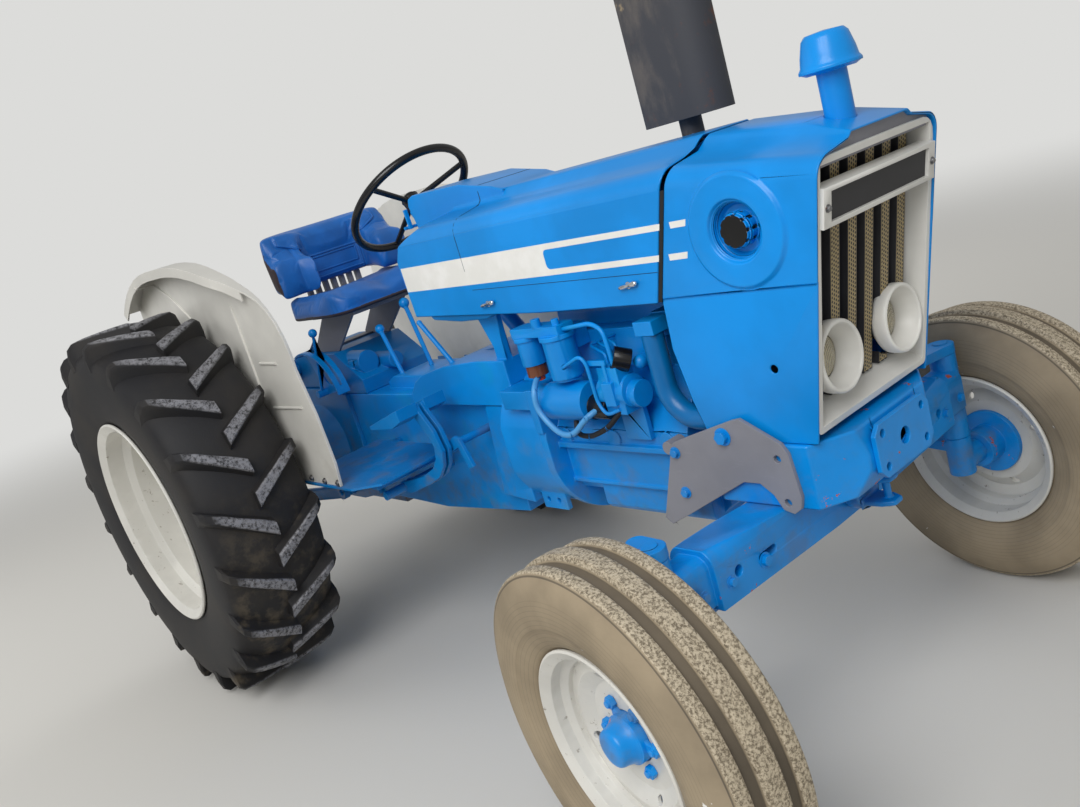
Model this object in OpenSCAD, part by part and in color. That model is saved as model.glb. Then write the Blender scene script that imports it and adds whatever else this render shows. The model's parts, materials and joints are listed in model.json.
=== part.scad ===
// Farm tractor of the 1970s: three-cylinder engine left open, shell fenders, adjustable front axle
// X runs forward, Y to the driver's left and Z up; the ground is at zero

/* [Wheels] */
// Distance between the axles
wheelbase = 2187; // [2050:1:2350]
// Distance between the middles of the rear tyres
rear_track = 1502; // [1440:1:1700]
// Distance between the middles of the front tyres
front_track = 1488; // [1440:1:1600]
// Radius of a rear tyre over its lugs
rear_tyre_r = 687; // [670:1:700]
// Radius of a rear tyre below its lugs
rear_carcass_r = 655; // [645:1:665]
// Widest part of a rear tyre
rear_tyre_w = 378; // [360:1:400]
// Radius of a rear rim over its flanges
rear_flange_r = 381; // [370:1:390]
// Lugs along each side of a rear tyre
lug_count = 20; // [16:1:24]
// Width of a lug round the tyre
lug_w = 48; // [36:1:60]
// Radius of a front tyre
front_tyre_r = 397; // [385:1:405]
// Widest part of a front tyre
front_tyre_w = 204; // [190:1:215]
// Radius of a front rim over its flanges
front_flange_r = 222; // [215:1:228]
// Thickness of the pressed wheel discs
disc_t = 9; // [6:1:14]

/* [Steering] */
// Angle that the front wheels are parked at, to the left
parked_steer = -7.5; // [-15:0.5:15]
// Distance of a kingpin inboard of its tyre's middle
kingpin_inset = 144; // [138:1:160]
// Radius of a kingpin
kingpin_r = 20; // [16:1:24]
// Length of the arm that the tie rod joins
tie_arm_l = 150; // [120:1:170]
// Length of the arm that the drag link joins
drag_arm_l = 110; // [90:1:130]
// Radius of the steering wheel
steering_r = 212; // [190:1:230]
// Angle of the steering column above level
column_tilt = 52; // [40:1:65]

/* [Body panels] */
// Half the width of the hood
hood_half = 228; // [215:1:240]
// Thickness of the hood panels
panel_t = 6; // [4:1:10]
// Height of the crease along the top of the hood
crease_z = 1422; // [1400:1:1440]
// Height of the raised middle of the hood
ridge_z = 1462; // [1450:1:1485]
// Height of the bottom of the nose
nose_bottom_z = 805; // [795:1:830]
// Lean of the grille from upright
grille_lean = 12.9; // [8:0.1:16]
// Radius of the round dish pressed in each side of the nose
dish_r = 122; // [90:1:125]
// Radius of a headlamp
lamp_r = 76; // [65:1:80]
// Upright grille columns
column_count = 6; // [4:1:8]
// Thickness of a fender
fender_t = 6; // [4:1:10]
// Width of a fender's top over its tyre
fender_top_w = 70; // [50:1:120]

/* [Seat] */
// Width of the seat
seat_w = 450; // [400:1:500]
// Depth of the seat cushion
cushion_d = 380; // [340:1:420]
// Thickness of the seat cushion
cushion_t = 75; // [50:1:90]

/* [Rear linkage] */
// Length of a lower link between its eyes
link_l = 760; // [700:1:820]
// Angle of the lower links below level, as parked
link_drop = 4; // [0:1:8]
// Radius of a lower link's ball bore
link_bore_r = 11.1; // [10:0.1:14.5]
// Length of a lift arm
lift_l = 255; // [230:1:270]

/* [Hidden] */
$fn = 48;
fit = 0.05;
gap = 0.3;
kingpin_y = front_track / 2 - kingpin_inset;
rear_y = rear_track / 2;

// Bare sections of the chassis, from back to front
box_half = 150;
gearbox_x = 260;
bell_x = 1180;
engine_x = 1452;
engine_end_x = wheelbase - 227;
casting_front_x = wheelbase + 225;
casting_z0 = 656;
bracket_y = 252;
bracket_t = 11;

// Front axle
axle_w = 120;
axle_z0 = 543;
axle_top_z = 655;
axle_half = kingpin_y - 100;
housing_r = 35;
housing_z0 = 470;
housing_z1 = 712;
arm_t = 26;
tie_z0 = 436;
spindle_r = 22;
drag_z0 = housing_z1 + gap;

// Hood and nose, both leaning with the grille
lean = tan(grille_lean);
seam_x = wheelbase - 171;
seam_z = 1134;
seam_lean = 0.36;
hood_rear_x = 1010;
hood_bottom_z = 1163;
grille_x0 = wheelbase + 167;
grille_z0 = 817;
grille_l = 573;
grille_half = 222;
nose_gap = 14;

// Linkage pivots
link_x = 40;
link_z = 480;
link_y = 205;
link_y_end = 345;
rock_x = -95;
rock_z = 985;
rock_rest = 12;

// Reach of the whole tractor, which sets its middle
crown_half = 18;
front_x = wheelbase + (kingpin_inset + crown_half) * sin(abs(parked_steer))
    + front_tyre_r * cos(parked_steer);
rear_x = link_x - link_l * cos(link_drop) - 30;
mid_x = (front_x + rear_x) / 2;

blue = "#1478c8";
cream = "#e4e2d8";
grey = "#8c8c90";
rubber = "#26262a";

module place() translate([-mid_x, 0, 0]) children();
module left_of() mirror([0, 1, 0]) children();
module both() { children(); left_of() children(); }

function arc(cx, cy, r, a0, a1, n) = [for (i = [0:n])
    let (a = a0 + (a1 - a0) * i / n) [cx + r * cos(a), cy + r * sin(a)]];

// A profile drawn in X and Z, given a width across Y about y
module side_plate(y, w) translate([0, y + w / 2, 0]) rotate([90, 0, 0])
    linear_extrude(w) children();
// A profile drawn in Y and Z, given a length along X from x
module cross_bar(x, l) translate([x, 0, 0]) rotate([90, 0, 90]) linear_extrude(l) children();
// A round bar across the tractor
module across(x, y, z, r, l) translate([x, y + l / 2, z]) rotate([90, 0, 0]) cylinder(r = r, h = l);
// A round bar along the tractor
module along(x, y, z, r, l) translate([x, y, z]) rotate([0, 90, 0]) cylinder(r = r, h = l);

// A flat bar with round ends, between two points of the drawing
module flat_bar(p, q, r0, r1) {
    l = norm(q - p);
    a = atan2(q[1] - p[1], q[0] - p[0]);
    k = acos((r0 - r1) / l);
    // Sides a hair inside the circles, so that they cross and don't just touch
    s0 = r0 - 0.1;
    s1 = r1 - 0.1;
    translate(p) circle(r = r0);
    translate(q) circle(r = r1);
    translate(p) rotate(a) polygon([
        [s0 * cos(k), s0 * sin(k)], [l + s1 * cos(k), s1 * sin(k)],
        [l + s1 * cos(k), -s1 * sin(k)], [s0 * cos(k), -s0 * sin(k)]]);
}

// A wheel is drawn about Z with its outer face up, then stood on the right-hand side
module stand_right(x, y, z) translate([x, -y, z]) rotate([90, 0, 0]) children();

// Rear wheels
module tyre_ring(points) rotate_extrude($fn = 96) polygon(points);
rear_half = rear_tyre_w / 2;
bead_r = rear_flange_r - 25;
rear_side = [[bead_r, 150], [rear_flange_r + 4, 166], [440, rear_half - 9], [530, rear_half],
    [590, rear_half - 4], [rear_carcass_r - 37, rear_half - 16], [rear_carcass_r - 15, 120],
    [rear_carcass_r - 3, 60], [rear_carcass_r, 0]];
function both_sides(half) = concat(half,
    [for (i = [len(half) - 2:-1:0]) [half[i][0], -half[i][1]]]);

lug_tilt = 8;
lug_over = 12;
lug_depth = 78;
lug_nose = lug_w / 2;
lug_top = sqrt(pow(rear_tyre_r, 2) - pow(lug_nose, 2));
lug_phase = atan(lug_nose / lug_top);
lug_reach = rear_half - 3;
// Outline of a lug: distance ahead of its root, and distance outboard of the tyre's middle
lug_outline = [[lug_nose, -lug_over], [lug_nose - 62, 80], [lug_nose - 132, lug_reach],
    [-lug_nose - 118, lug_reach], [-lug_nose - 52, 74], [-lug_nose, -lug_over]];
module lug(side) translate([0, lug_top, -side * lug_over]) rotate([lug_tilt * side, 0, 0])
    translate([0, -lug_depth, 0]) rotate([-90, 0, 0]) linear_extrude(lug_depth)
        polygon([for (p = lug_outline) [p[0], -side * (p[1] + lug_over)]]);
module rear_tyre() rotate([0, 0, 180 - lug_phase]) {
    tyre_ring(both_sides(rear_side));
    for (i = [0:lug_count - 1]) rotate([0, 0, -360 / lug_count * i]) {
        lug(1);
        rotate([0, 0, 180 / lug_count]) lug(-1);
    }
}
seat_r = bead_r - gap;
rim_barrel = [[rear_flange_r, 168.5], [rear_flange_r, 174], [rear_flange_r - 6, 178],
    [seat_r - 9, 160], [seat_r - 8, 100], [seat_r - 34, 78], [seat_r - 34, -18],
    [seat_r - 8, -40], [seat_r - 9, -160], [rear_flange_r - 6, -178], [rear_flange_r, -174],
    [rear_flange_r, -168.5], [seat_r, -152], [seat_r, -40], [seat_r - 26, -24],
    [seat_r - 26, 84], [seat_r, 102], [seat_r, 152]];
disc_z = -90;
hub_r = 112;
shaft_r = 40;
shaft_l = 240;
rear_nuts = 8;
module rear_rim() {
    rotate_extrude($fn = 96) polygon(rim_barrel);
    difference() {
        rotate_extrude($fn = 96) polygon([[0, disc_z], [0, disc_z - disc_t - 8], [hub_r, disc_z - disc_t - 8],
            [hub_r, disc_z - disc_t], [220, disc_z - disc_t], [280, disc_z + 22], [seat_r - 6, disc_z + 22],
            [seat_r - 6, disc_z + 22 + disc_t], [275, disc_z + 22 + disc_t], [215, disc_z]]);
        for (i = [0:7]) rotate(i * 45) translate([252, 0, disc_z - 30]) cylinder(r = 16, h = 80);
    }
    translate([0, 0, disc_z]) cylinder(r = 62, h = 26);
    translate([0, 0, disc_z - shaft_l]) cylinder(r = shaft_r, h = shaft_l);
    for (i = [0:rear_nuts - 1]) rotate(i * 360 / rear_nuts) translate([88, 0, disc_z])
        cylinder(r = 17, h = 16, $fn = 6);
}

// Front wheels
front_half = front_tyre_w / 2;
front_bead_r = front_flange_r - 19;
crown = front_tyre_r;
front_side = [[front_bead_r, 60], [front_flange_r + 3, 72], [250, front_half - 12], [300, front_half],
    [345, front_half - 5], [crown - 24, front_half - 17], [crown - 11, front_half - 22],
    [crown - 6, front_half - 28], [crown - 6, 51], [crown - 16, 46], [crown - 16, 26],
    [crown, crown_half]];
front_other = [for (i = [len(front_side) - 1:-1:0]) [front_side[i][0], -front_side[i][1]]];
front_seat_r = front_bead_r - gap;
front_barrel = [[front_flange_r, 74], [front_flange_r, 80], [front_flange_r - 5, 83],
    [front_seat_r - 8, 68], [front_seat_r - 8, 45], [front_seat_r - 24, 34], [front_seat_r - 24, -12],
    [front_seat_r - 8, -24], [front_seat_r - 8, -68], [front_flange_r - 5, -83],
    [front_flange_r, -80], [front_flange_r, -74], [front_seat_r, -62], [front_seat_r, -22],
    [front_seat_r - 17, -8], [front_seat_r - 17, 30], [front_seat_r, 43], [front_seat_r, 62]];
front_disc_z = 12;
front_hub_r = 92;
front_nuts = 6;
front_bolt_at = 76;
front_bolt_r = 8;
module front_tyre() tyre_ring(concat(front_side, front_other));
module front_rim() {
    rotate_extrude($fn = 96) polygon(front_barrel);
    difference() {
        rotate_extrude($fn = 96) polygon([[56, front_disc_z], [56, front_disc_z - disc_t],
            [120, front_disc_z - disc_t], [150, front_disc_z + 10], [front_seat_r - 20, front_disc_z],
            [front_seat_r - 20, front_disc_z + disc_t], [150, front_disc_z + 10 + disc_t],
            [118, front_disc_z]]);
        for (i = [0:3]) rotate(i * 90 + 20) translate([135, 0, front_disc_z - 20])
            cylinder(r = 9, h = 60);
        for (i = [0:front_nuts - 1]) rotate(i * 360 / front_nuts) translate([front_bolt_at, 0, -20])
            cylinder(r = front_bolt_r + gap, h = 60);
    }
}
module front_hub() difference() {
    union() {
        translate([0, 0, front_disc_z - disc_t - 16]) cylinder(r = front_hub_r, h = 16);
        translate([0, 0, -74]) cylinder(r = 52, h = 74);
        translate([0, 0, -10]) cylinder(r = 54, h = 42);
        translate([0, 0, 30]) cylinder(r1 = 46, r2 = 38, h = 36);
        for (i = [0:front_nuts - 1]) rotate(i * 360 / front_nuts)
            translate([front_bolt_at, 0, front_disc_z - disc_t - 1]) {
                cylinder(r = front_bolt_r, h = disc_t + 20);
                translate([0, 0, disc_t + 1]) cylinder(r = 15, h = 13, $fn = 6);
            }
    }
    translate([0, 0, -80]) cylinder(r = spindle_r + fit, h = 100);
}

// Steered pieces are drawn straight ahead on the right and turned about their own kingpin
module steered_right() translate([wheelbase, -kingpin_y, 0]) rotate([0, 0, parked_steer])
    children();
module steered_left() translate([wheelbase, kingpin_y, 0]) rotate([0, 0, parked_steer])
    mirror([0, 1, 0]) children();
module wheel_on_kingpin() stand_right(0, kingpin_inset, front_tyre_r) children();
module knuckle(arm) {
    // Kingpin, spindle and the block between them
    translate([0, 0, tie_z0]) cylinder(r = kingpin_r, h = housing_z1 - tie_z0 + 30);
    translate([0, 0, front_tyre_r - 38]) cylinder(r = housing_r, h = housing_z0 - gap - front_tyre_r + 38);
    translate([0, 0, front_tyre_r]) rotate([90, 0, 0]) cylinder(r = spindle_r, h = kingpin_inset - 20);
    translate([0, 0, front_tyre_r]) rotate([90, 0, 0]) cylinder(r = 34, h = kingpin_inset - 76);
    // Lower arm, back to the tie rod
    difference() {
        translate([0, 0, tie_z0]) linear_extrude(arm_t) flat_bar([0, 0], [-tie_arm_l, 0], 34, 24);
        translate([-tie_arm_l, 0, tie_z0 - 1]) cylinder(r = 9 + fit, h = arm_t + 2);
    }
    // Upper arm or clamp
    difference() {
        translate([0, 0, drag_z0]) linear_extrude(arm_t)
            flat_bar([0, 0], arm * [0, drag_arm_l] + (1 - arm) * [-52, 10], 36, 22);
        if (arm == 1) translate([0, drag_arm_l, drag_z0 - 1]) cylinder(r = 9 + fit, h = arm_t + 2);
    }
}
// Place of an arm's end as parked, from a kingpin
function turned(v) = [v[0] * cos(parked_steer) - v[1] * sin(parked_steer),
    v[0] * sin(parked_steer) + v[1] * cos(parked_steer)];
tie_end = turned([-tie_arm_l, 0]);
drag_end = turned([0, -drag_arm_l]);
module ball_joint(z0, up) {
    translate([0, 0, up > 0 ? z0 - 30 - gap : z0 + arm_t + gap]) cylinder(r = 21, h = 30);
    translate([0, 0, up > 0 ? z0 - 8 : z0 - 4]) cylinder(r = 9, h = arm_t + 12);
}
module tie_rod() color(blue) place() translate([wheelbase + tie_end[0], tie_end[1], 0]) {
    for (s = [-1, 1]) translate([0, s * kingpin_y, 0]) ball_joint(tie_z0, 1);
    across(0, 0, tie_z0 - gap - 15, 13, 2 * kingpin_y - 30);
    for (s = [-1, 1]) across(0, s * (kingpin_y - 110), tie_z0 - gap - 15, 17, 80);
}
drop_x = 1150;
drop_y = 232;
drop_pivot_z = 930;
drop_l = 150;
drag_z = drag_z0 + arm_t + gap + 15;
drop_rest = asin(drag_arm_l / drop_l * sin(parked_steer));
module drag_link() color(blue) place() {
    p = [wheelbase + drag_end[0], kingpin_y + drag_end[1], drag_z];
    q = [drop_x + drop_l * sin(drop_rest), drop_y + 42, drop_pivot_z - drop_l * cos(drop_rest)];
    translate([p[0], p[1], 0]) ball_joint(drag_z0, -1);
    l = norm(p - q);
    d = p - q;
    translate(q) rotate([0, acos(d[2] / l), atan2(d[1], d[0])]) {
        translate([0, 0, 12]) cylinder(r = 13, h = l - 24);
        translate([0, 0, 90]) cylinder(r = 17, h = 70);
        translate([0, 0, l - 150]) cylinder(r = 17, h = 70);
    }
    translate(q) rotate([90, 0, 0]) cylinder(r = 21, h = 30, center = true);
}
module drop_arm() color(blue) place() translate([drop_x, 0, drop_pivot_z])
    rotate([0, -drop_rest, 0]) {
        side_plate(drop_y, 22) flat_bar([0, 0], [0, -drop_l], 32, 20);
        across(0, drop_y - 36, 0, 20, 60);
        across(0, drop_y + 12, -drop_l, 9, 24);
    }

module rear_tyre_right() color(rubber) place() stand_right(0, rear_y, rear_tyre_r) rear_tyre();
module rear_rim_right() color(cream) place() stand_right(0, rear_y, rear_tyre_r) rear_rim();
module rear_tyre_left() color(rubber) place() left_of()
    stand_right(0, rear_y, rear_tyre_r) rear_tyre();
module rear_rim_left() color(cream) place() left_of()
    stand_right(0, rear_y, rear_tyre_r) rear_rim();
module front_tyre_right() color(rubber) place() steered_right() wheel_on_kingpin() front_tyre();
module front_rim_right() color(cream) place() steered_right() wheel_on_kingpin() front_rim();
module front_hub_right() color(blue) place() steered_right() wheel_on_kingpin() front_hub();
module front_tyre_left() color(rubber) place() steered_left() wheel_on_kingpin() front_tyre();
module front_rim_left() color(cream) place() steered_left() wheel_on_kingpin() front_rim();
module front_hub_left() color(blue) place() steered_left() wheel_on_kingpin() front_hub();
module knuckle_right() color(blue) place() steered_right() knuckle(0);
module knuckle_left() color(blue) place() steered_left() knuckle(1);

// Rear axle: centre housing, trumpets, linkage pins, and feet that carry the fenders
trumpet_y = rear_y - 271;
fender_y = rear_y - rear_half - 32;
fender_bottom_z = 745;
case_half = box_half + 15;
module rear_axle() color(blue) place() difference() {
    union() {
        side_plate(0, 2 * case_half) polygon([[-190, 440], [120, 440], [gearbox_x, 470],
            [gearbox_x, 880], [60, 905], [-150, 905], [-210, 860], [-230, 790], [-230, 560]]);
        both() {
            translate([0, -case_half, rear_tyre_r]) rotate([90, 0, 0])
                cylinder(r1 = 150, r2 = 84, h = 110);
            translate([0, -case_half, rear_tyre_r]) rotate([90, 0, 0])
                cylinder(r = 84, h = trumpet_y - case_half - 26);
            translate([0, -trumpet_y + 26, rear_tyre_r]) rotate([90, 0, 0]) cylinder(r = 112, h = 26);
            for (x = [-140, 70]) {
                translate([x, -fender_y, rear_tyre_r + 50])
                    cube([70, fender_y - trumpet_y + 24, 12]);
                translate([x, -fender_y, rear_tyre_r + 50]) cube([70, 10, 60]);
            }
            across(link_x, -link_y + 4, link_z, link_bore_r - fit, 50);
            across(link_x, -case_half - 8, link_z, 26, 30);
            // Ears for the top link
            side_plate(-32, 14) polygon([[-220, 740], [-220, 870], [-275, 850], [-290, 800],
                [-275, 755]]);
        }
        // Power take-off
        along(-345, 0, 600, 17.5, 130);
        along(-250, 0, 600, 48, 30);
    }
    across(0, 0, rear_tyre_r, shaft_r + fit, 2 * (trumpet_y + 1));
    for (z = [772, 830]) across(-262, 0, z, 10, 120);
}

// Gearbox with the bell housing, steering box and gear levers
bell_r = 232;
bell_z = 735;
bell_half = 222;
gear_top = 880;
column_l = 600;
post_x = 1290;
tank_z0 = 1134;
module lever(x, y, z, lean_x, lean_y, l, knob) translate([x, y, z]) rotate([lean_y, lean_x, 0]) {
    cylinder(r = 8, h = l);
    translate([0, 0, l]) sphere(r = knob);
}
module gearbox() color(blue) place() difference() {
    union() {
        side_plate(0, 2 * box_half) polygon([[gearbox_x, 470], [700, 455], [bell_x, 490],
            [bell_x, 860], [900, gear_top], [gearbox_x, gear_top]]);
        side_plate(0, 2 * box_half + 70) polygon([[bell_x - 60, 560], [bell_x + 90, 545],
            [bell_x + 90, 940], [bell_x - 20, 850]]);
        intersection() {
            along(bell_x + 80, 0, bell_z, bell_r, engine_x - bell_x - 80);
            translate([bell_x, -bell_half, 400]) cube([engine_x - bell_x, 2 * bell_half, 700]);
        }
        // Top cover and levers
        side_plate(0, 180) polygon([[470, gear_top - 1], [470, 905], [520, 925], [700, 925],
            [760, gear_top - 1]]);
        lever(600, 30, 915, -12, 0, 250, 19);
        lever(540, -60, 915, -18, 0, 190, 17);
        // Console casting ahead of the cover, with its stop rod
        side_plate(-20, 340) polygon([[770, 860], [780, 900], [820, 938], [875, 962], [1010, 988],
            [1190, 1002], [post_x + 40, 1000], [post_x + 40, 860]]);
        lever(1020, -150, 980, -40, 0, 190, 9);
        // Ear for the starter, and the foot under the bell
        translate([bell_x + 145, -232, 866]) cube([engine_x - bell_x - 145, 90, 56]);
        difference() {
            translate([bell_x + 121, -178, 531]) cube([110, 18, 100]);
            for (x = [150, 196]) across(bell_x + x, -170, 560, 7, 40);
        }
        // Steering box
        side_plate((drop_y - 42 - 60) / 2, drop_y - 42 + 60) polygon([[1080, 840], [1250, 840],
            [1250, 975], [1220, 1000], [1110, 1000], [1080, 975]]);
        on_column() translate([0, 0, -column_l - 70]) cylinder(r = 32, h = 70);
        // Posts under the tank
        translate([post_x, 90, 850]) cube([30, 20, tank_z0 - gap - 850]);
        side_plate(-165, 20) polygon([[post_x - 5, 960], [post_x + 38, 960],
            [post_x + 50, tank_z0 - gap], [post_x - 45, tank_z0 - gap], [post_x - 8, 1040]]);
    }
    across(drop_x, drop_y - 30, drop_pivot_z, kingpin_r + fit, 120);
}

// Engine: sump with ribs, block, head and rocker cover, all open to view
block_half = 185;
sump_x = engine_x + 119;
sump_z0 = 548;
sump_z1 = 752;
sump_half = 174;
sump_low_half = 164;
sump_step_z = 632;
block_z1 = 960;
head_z1 = 1062;
rocker_z1 = 1124;
module engine() color(blue) place() {
    l = engine_end_x - engine_x;
    cross_bar(sump_x, engine_end_x - sump_x) polygon([[-150, sump_z0], [150, sump_z0],
        [sump_low_half, sump_z0 + 16], [sump_low_half, sump_step_z], [-sump_low_half, sump_step_z],
        [-sump_low_half, sump_z0 + 16]]);
    // Upper half of the sump, arched over the space behind it
    cross_bar(engine_x, l) polygon([[-150, sump_step_z - 28], [150, sump_step_z - 28],
        [sump_half, sump_step_z + 8], [sump_half, sump_z1], [-sump_half, sump_z1],
        [-sump_half, sump_step_z + 8]]);
    // Ridge along the sump, and its flange
    cross_bar(engine_x + 12, l - 82) polygon([[-sump_half - 6, sump_step_z],
        [sump_half + 6, sump_step_z], [sump_half + 6, sump_step_z + 11],
        [-sump_half - 6, sump_step_z + 11]]);
    cross_bar(engine_x, l - 60) polygon([[-block_half - 13, sump_z1 - 9],
        [block_half + 13, sump_z1 - 9], [block_half + 13, sump_z1 + 8],
        [-block_half - 13, sump_z1 + 8]]);
    cross_bar(engine_x, l) polygon([[-block_half, sump_z1], [block_half, sump_z1],
        [block_half, 800], [140, 870], [140, block_z1], [-140, block_z1], [-140, 870],
        [-block_half, 800]]);
    cross_bar(engine_x + 25, l - 50) polygon([[-146, block_z1 - 1], [146, block_z1 - 1],
        [146, head_z1], [-146, head_z1]]);
    cross_bar(engine_x + 50, l - 110) polygon(concat([[92, head_z1 - 1], [92, rocker_z1 - 30]],
        arc(62, rocker_z1 - 30, 30, 0, 90, 5), arc(-62, rocker_z1 - 30, 30, 90, 180, 5),
        [[-92, head_z1 - 1]]));
    // Rear flange against the bell housing
    intersection() {
        along(engine_x, 0, bell_z, bell_r + 8, 28);
        translate([engine_x, -bell_half - 14, 480]) cube([28, 2 * bell_half + 28, 440]);
    }
    translate([engine_x, -240, 800]) cube([28, 100, 128]);
    // Timing cover, water pump and water outlet
    side_plate(0, 250) polygon([[engine_end_x - 1, 560], [engine_end_x + 26, 580],
        [engine_end_x + 26, 930], [engine_end_x - 1, 950]]);
    along(engine_end_x - 40, 0, fan_z, 48, 102);
    along(engine_end_x + 62, 0, fan_z, 62, 12);
    // Water outlet over the hose
    translate([hose_x - 34, -150, hose_top_z - 20]) cube([60, 90, 60]);
    translate([hose_x - 30, -hose_y - hose_r, hose_top_z + gap]) cube([60, hose_y + hose_r - 140, 36]);
    for (i = [0:2]) translate([engine_x + 60 + i * (l - 130) / 2, -block_half + 14, 776])
        rotate([90, 0, 0]) cylinder(r = 24, h = 20);
}

// Front casting: carries the nose and radiator, and the axle on its pivot
casting_half = 236;
axle_pivot_z = 597;
module front_casting() color(blue) place() difference() {
    union() {
        intersection() {
            translate([0, 0, casting_z0]) linear_extrude(nose_bottom_z - casting_z0 - gap)
                polygon([[engine_end_x + 26, -110], [engine_end_x + 110, -casting_half],
                    [wheelbase + 143, -casting_half], [casting_front_x - 12, -128],
                    [casting_front_x - 12, 128], [wheelbase + 143, casting_half],
                    [engine_end_x + 110, casting_half], [engine_end_x + 26, 110]]);
            side_plate(0, 2 * casting_half) polygon([[engine_end_x + 20, casting_z0],
                [casting_front_x - 36, casting_z0], [casting_front_x - 8, casting_z0 + 60],
                [casting_front_x - 22, nose_bottom_z], [engine_end_x + 20, nose_bottom_z]]);
        }
        // Pad behind the front plate
        translate([casting_front_x - 60, -92, plate_z - 52]) cube([60 - 12, 184, 104]);
        // Pivot ears and pin
        for (x = [wheelbase - 104, wheelbase + axle_w / 2 + 4])
            cross_bar(x, 40) polygon(concat([[62, casting_z0 + 1], [50, axle_pivot_z]],
                arc(0, axle_pivot_z, 48, 0, -180, 12), [[-50, axle_pivot_z], [-62, casting_z0 + 1]]));
        along(wheelbase - 100, 0, axle_pivot_z, 22, 204);
        // Tow jaw with its pin
        for (z = [566, 624]) translate([0, 0, z]) linear_extrude(14) polygon([
            [wheelbase + 100, -34], [wheelbase + 150, -30], [wheelbase + 178, -16],
            [wheelbase + 178, 16], [wheelbase + 150, 30], [wheelbase + 100, 34]]);
        translate([wheelbase + 152, 0, 560]) cylinder(r = 9, h = 110);
    }
    // Threaded holes behind the front plate's own
    for (y = [-1, 1], z = [-1, 1])
        along(casting_front_x - 62, y * plate_hole_y, plate_z + z * plate_hole_z, plate_hole_r, 60);
}
plate_z = 735;
plate_half_y = 112;
plate_half_z = 62;
plate_hole_y = 82;
plate_hole_z = 38;
plate_hole_r = 9;
module front_plate() color(blue) place() difference() {
    cross_bar(casting_front_x - 12, 12) polygon([[-plate_half_y, 22 + plate_z - plate_half_z],
        [-plate_half_y + 22, plate_z - plate_half_z], [plate_half_y - 22, plate_z - plate_half_z],
        [plate_half_y, plate_z - plate_half_z + 22], [plate_half_y, plate_z + plate_half_z - 22],
        [plate_half_y - 22, plate_z + plate_half_z], [-plate_half_y + 22, plate_z + plate_half_z],
        [-plate_half_y, plate_z + plate_half_z - 22]]);
    for (y = [-1, 1], z = [-1, 1])
        along(casting_front_x - 14, y * plate_hole_y, plate_z + z * plate_hole_z, plate_hole_r, 20);
    along(casting_front_x - 14, 0, plate_z, 19, 20);
}

// Grey side plates that tie the engine to the front casting
module side_brackets() color(grey) place() both() difference() {
    union() {
        side_plate(-casting_half - bracket_t / 2, bracket_t) polygon([
            [wheelbase - 227, 795], [wheelbase - 216, 803], [wheelbase - 30, 862],
            [wheelbase - 8, 866], [wheelbase + 88, 812], [wheelbase + 102, 790],
            [wheelbase + 112, 690], [wheelbase + 104, 662], [wheelbase + 84, 648],
            [wheelbase + 58, 656], [wheelbase + 40, 690], [wheelbase + 10, 714],
            [wheelbase - 34, 714], [wheelbase - 228, 612], [wheelbase - 292, 580],
            [wheelbase - 312, 596]]);
        // Spacers to the engine; columns: distance from the axle, height, where each ends
        for (p = [[-252, 780, block_half], [-252, 655, sump_half], [-290, 600, sump_low_half]])
            across(wheelbase + p[0], -(casting_half + p[2] + gap) / 2, p[1], 17,
                casting_half - p[2] - gap);
    }
    for (p = [[72, 776], [74, 674]])
        across(wheelbase + p[0], -casting_half, p[1], 9, 60);
}

// Front axle: arched outer beam, inner members and kingpin housings
module front_axle() color(blue) place() difference() {
    union() {
        intersection() {
            cross_bar(wheelbase - axle_w / 2, axle_w) polygon([[-axle_half, 548], [-60, 532],
                [60, 532], [axle_half, 548], [axle_half, 682], [casting_half + 4, axle_top_z],
                [-casting_half - 4, axle_top_z], [-axle_half, 682]]);
            side_plate(0, 2 * axle_half) polygon(concat([[wheelbase - axle_w / 2, 520],
                [wheelbase + axle_w / 2, 520]], arc(wheelbase + 22, 646, 38, 0, 70, 4),
                arc(wheelbase - 22, 646, 38, 110, 180, 4)));
        }
        both() {
            side_plate(-kingpin_y + 62, 120) polygon(concat([[wheelbase - 46, 560],
                [wheelbase + 46, 560]], arc(wheelbase + 16, 640, 30, 0, 80, 4),
                arc(wheelbase - 16, 640, 30, 100, 180, 4)));
            translate([wheelbase, -kingpin_y, housing_z0]) cylinder(r = housing_r, h = housing_z1 - housing_z0);
        }
    }
    both() translate([wheelbase, -kingpin_y, housing_z0 - 1])
        cylinder(r = kingpin_r + fit, h = housing_z1 - housing_z0 + 2);
    along(wheelbase - axle_w, 0, axle_pivot_z, 22 + fit, 2 * axle_w);
    // Slots and bolt holes for setting the track
    both() {
        for (y = [310, 352]) along(wheelbase, -y, 596, 9, 80);
        translate([wheelbase, -352, 587]) cube([80, 42, 18]);
        along(wheelbase, -430, 606, 12, 80);
    }
}

// A round pipe through a list of points, with ball corners a little fatter than the pipe;
// thin pipes have ten flats
module pipe(points, r) {
    $fn = r < 10 ? 10 : 48;
    for (i = [0:len(points) - 2]) {
        d = points[i + 1] - points[i];
        l = norm(d);
        translate(points[i]) rotate([0, acos(d[2] / l), atan2(d[1], d[0])]) cylinder(r = r, h = l);
        if (i > 0) translate(points[i]) sphere(r = r + 0.6);
    }
}

// Hydraulic top cover with its cylinder
cover_top_z = 1040;
module hydraulics() color(blue) place() difference() {
    union() {
        side_plate(0, 2 * box_half) polygon([[-150, 905], [60, 905], [gearbox_x, 880], [400, 880],
            [400, 935], [330, 985], [250, cover_top_z], [-60, cover_top_z], [-150, 1010]]);
        along(230, -90, 985, 44, 150);
        along(230, -10, 965, 32, 210);
        translate([330, -118, 930]) cylinder(r = 26, h = 74);
    }
    across(rock_x, 0, rock_z, 25 + fit, 400);
}
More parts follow.
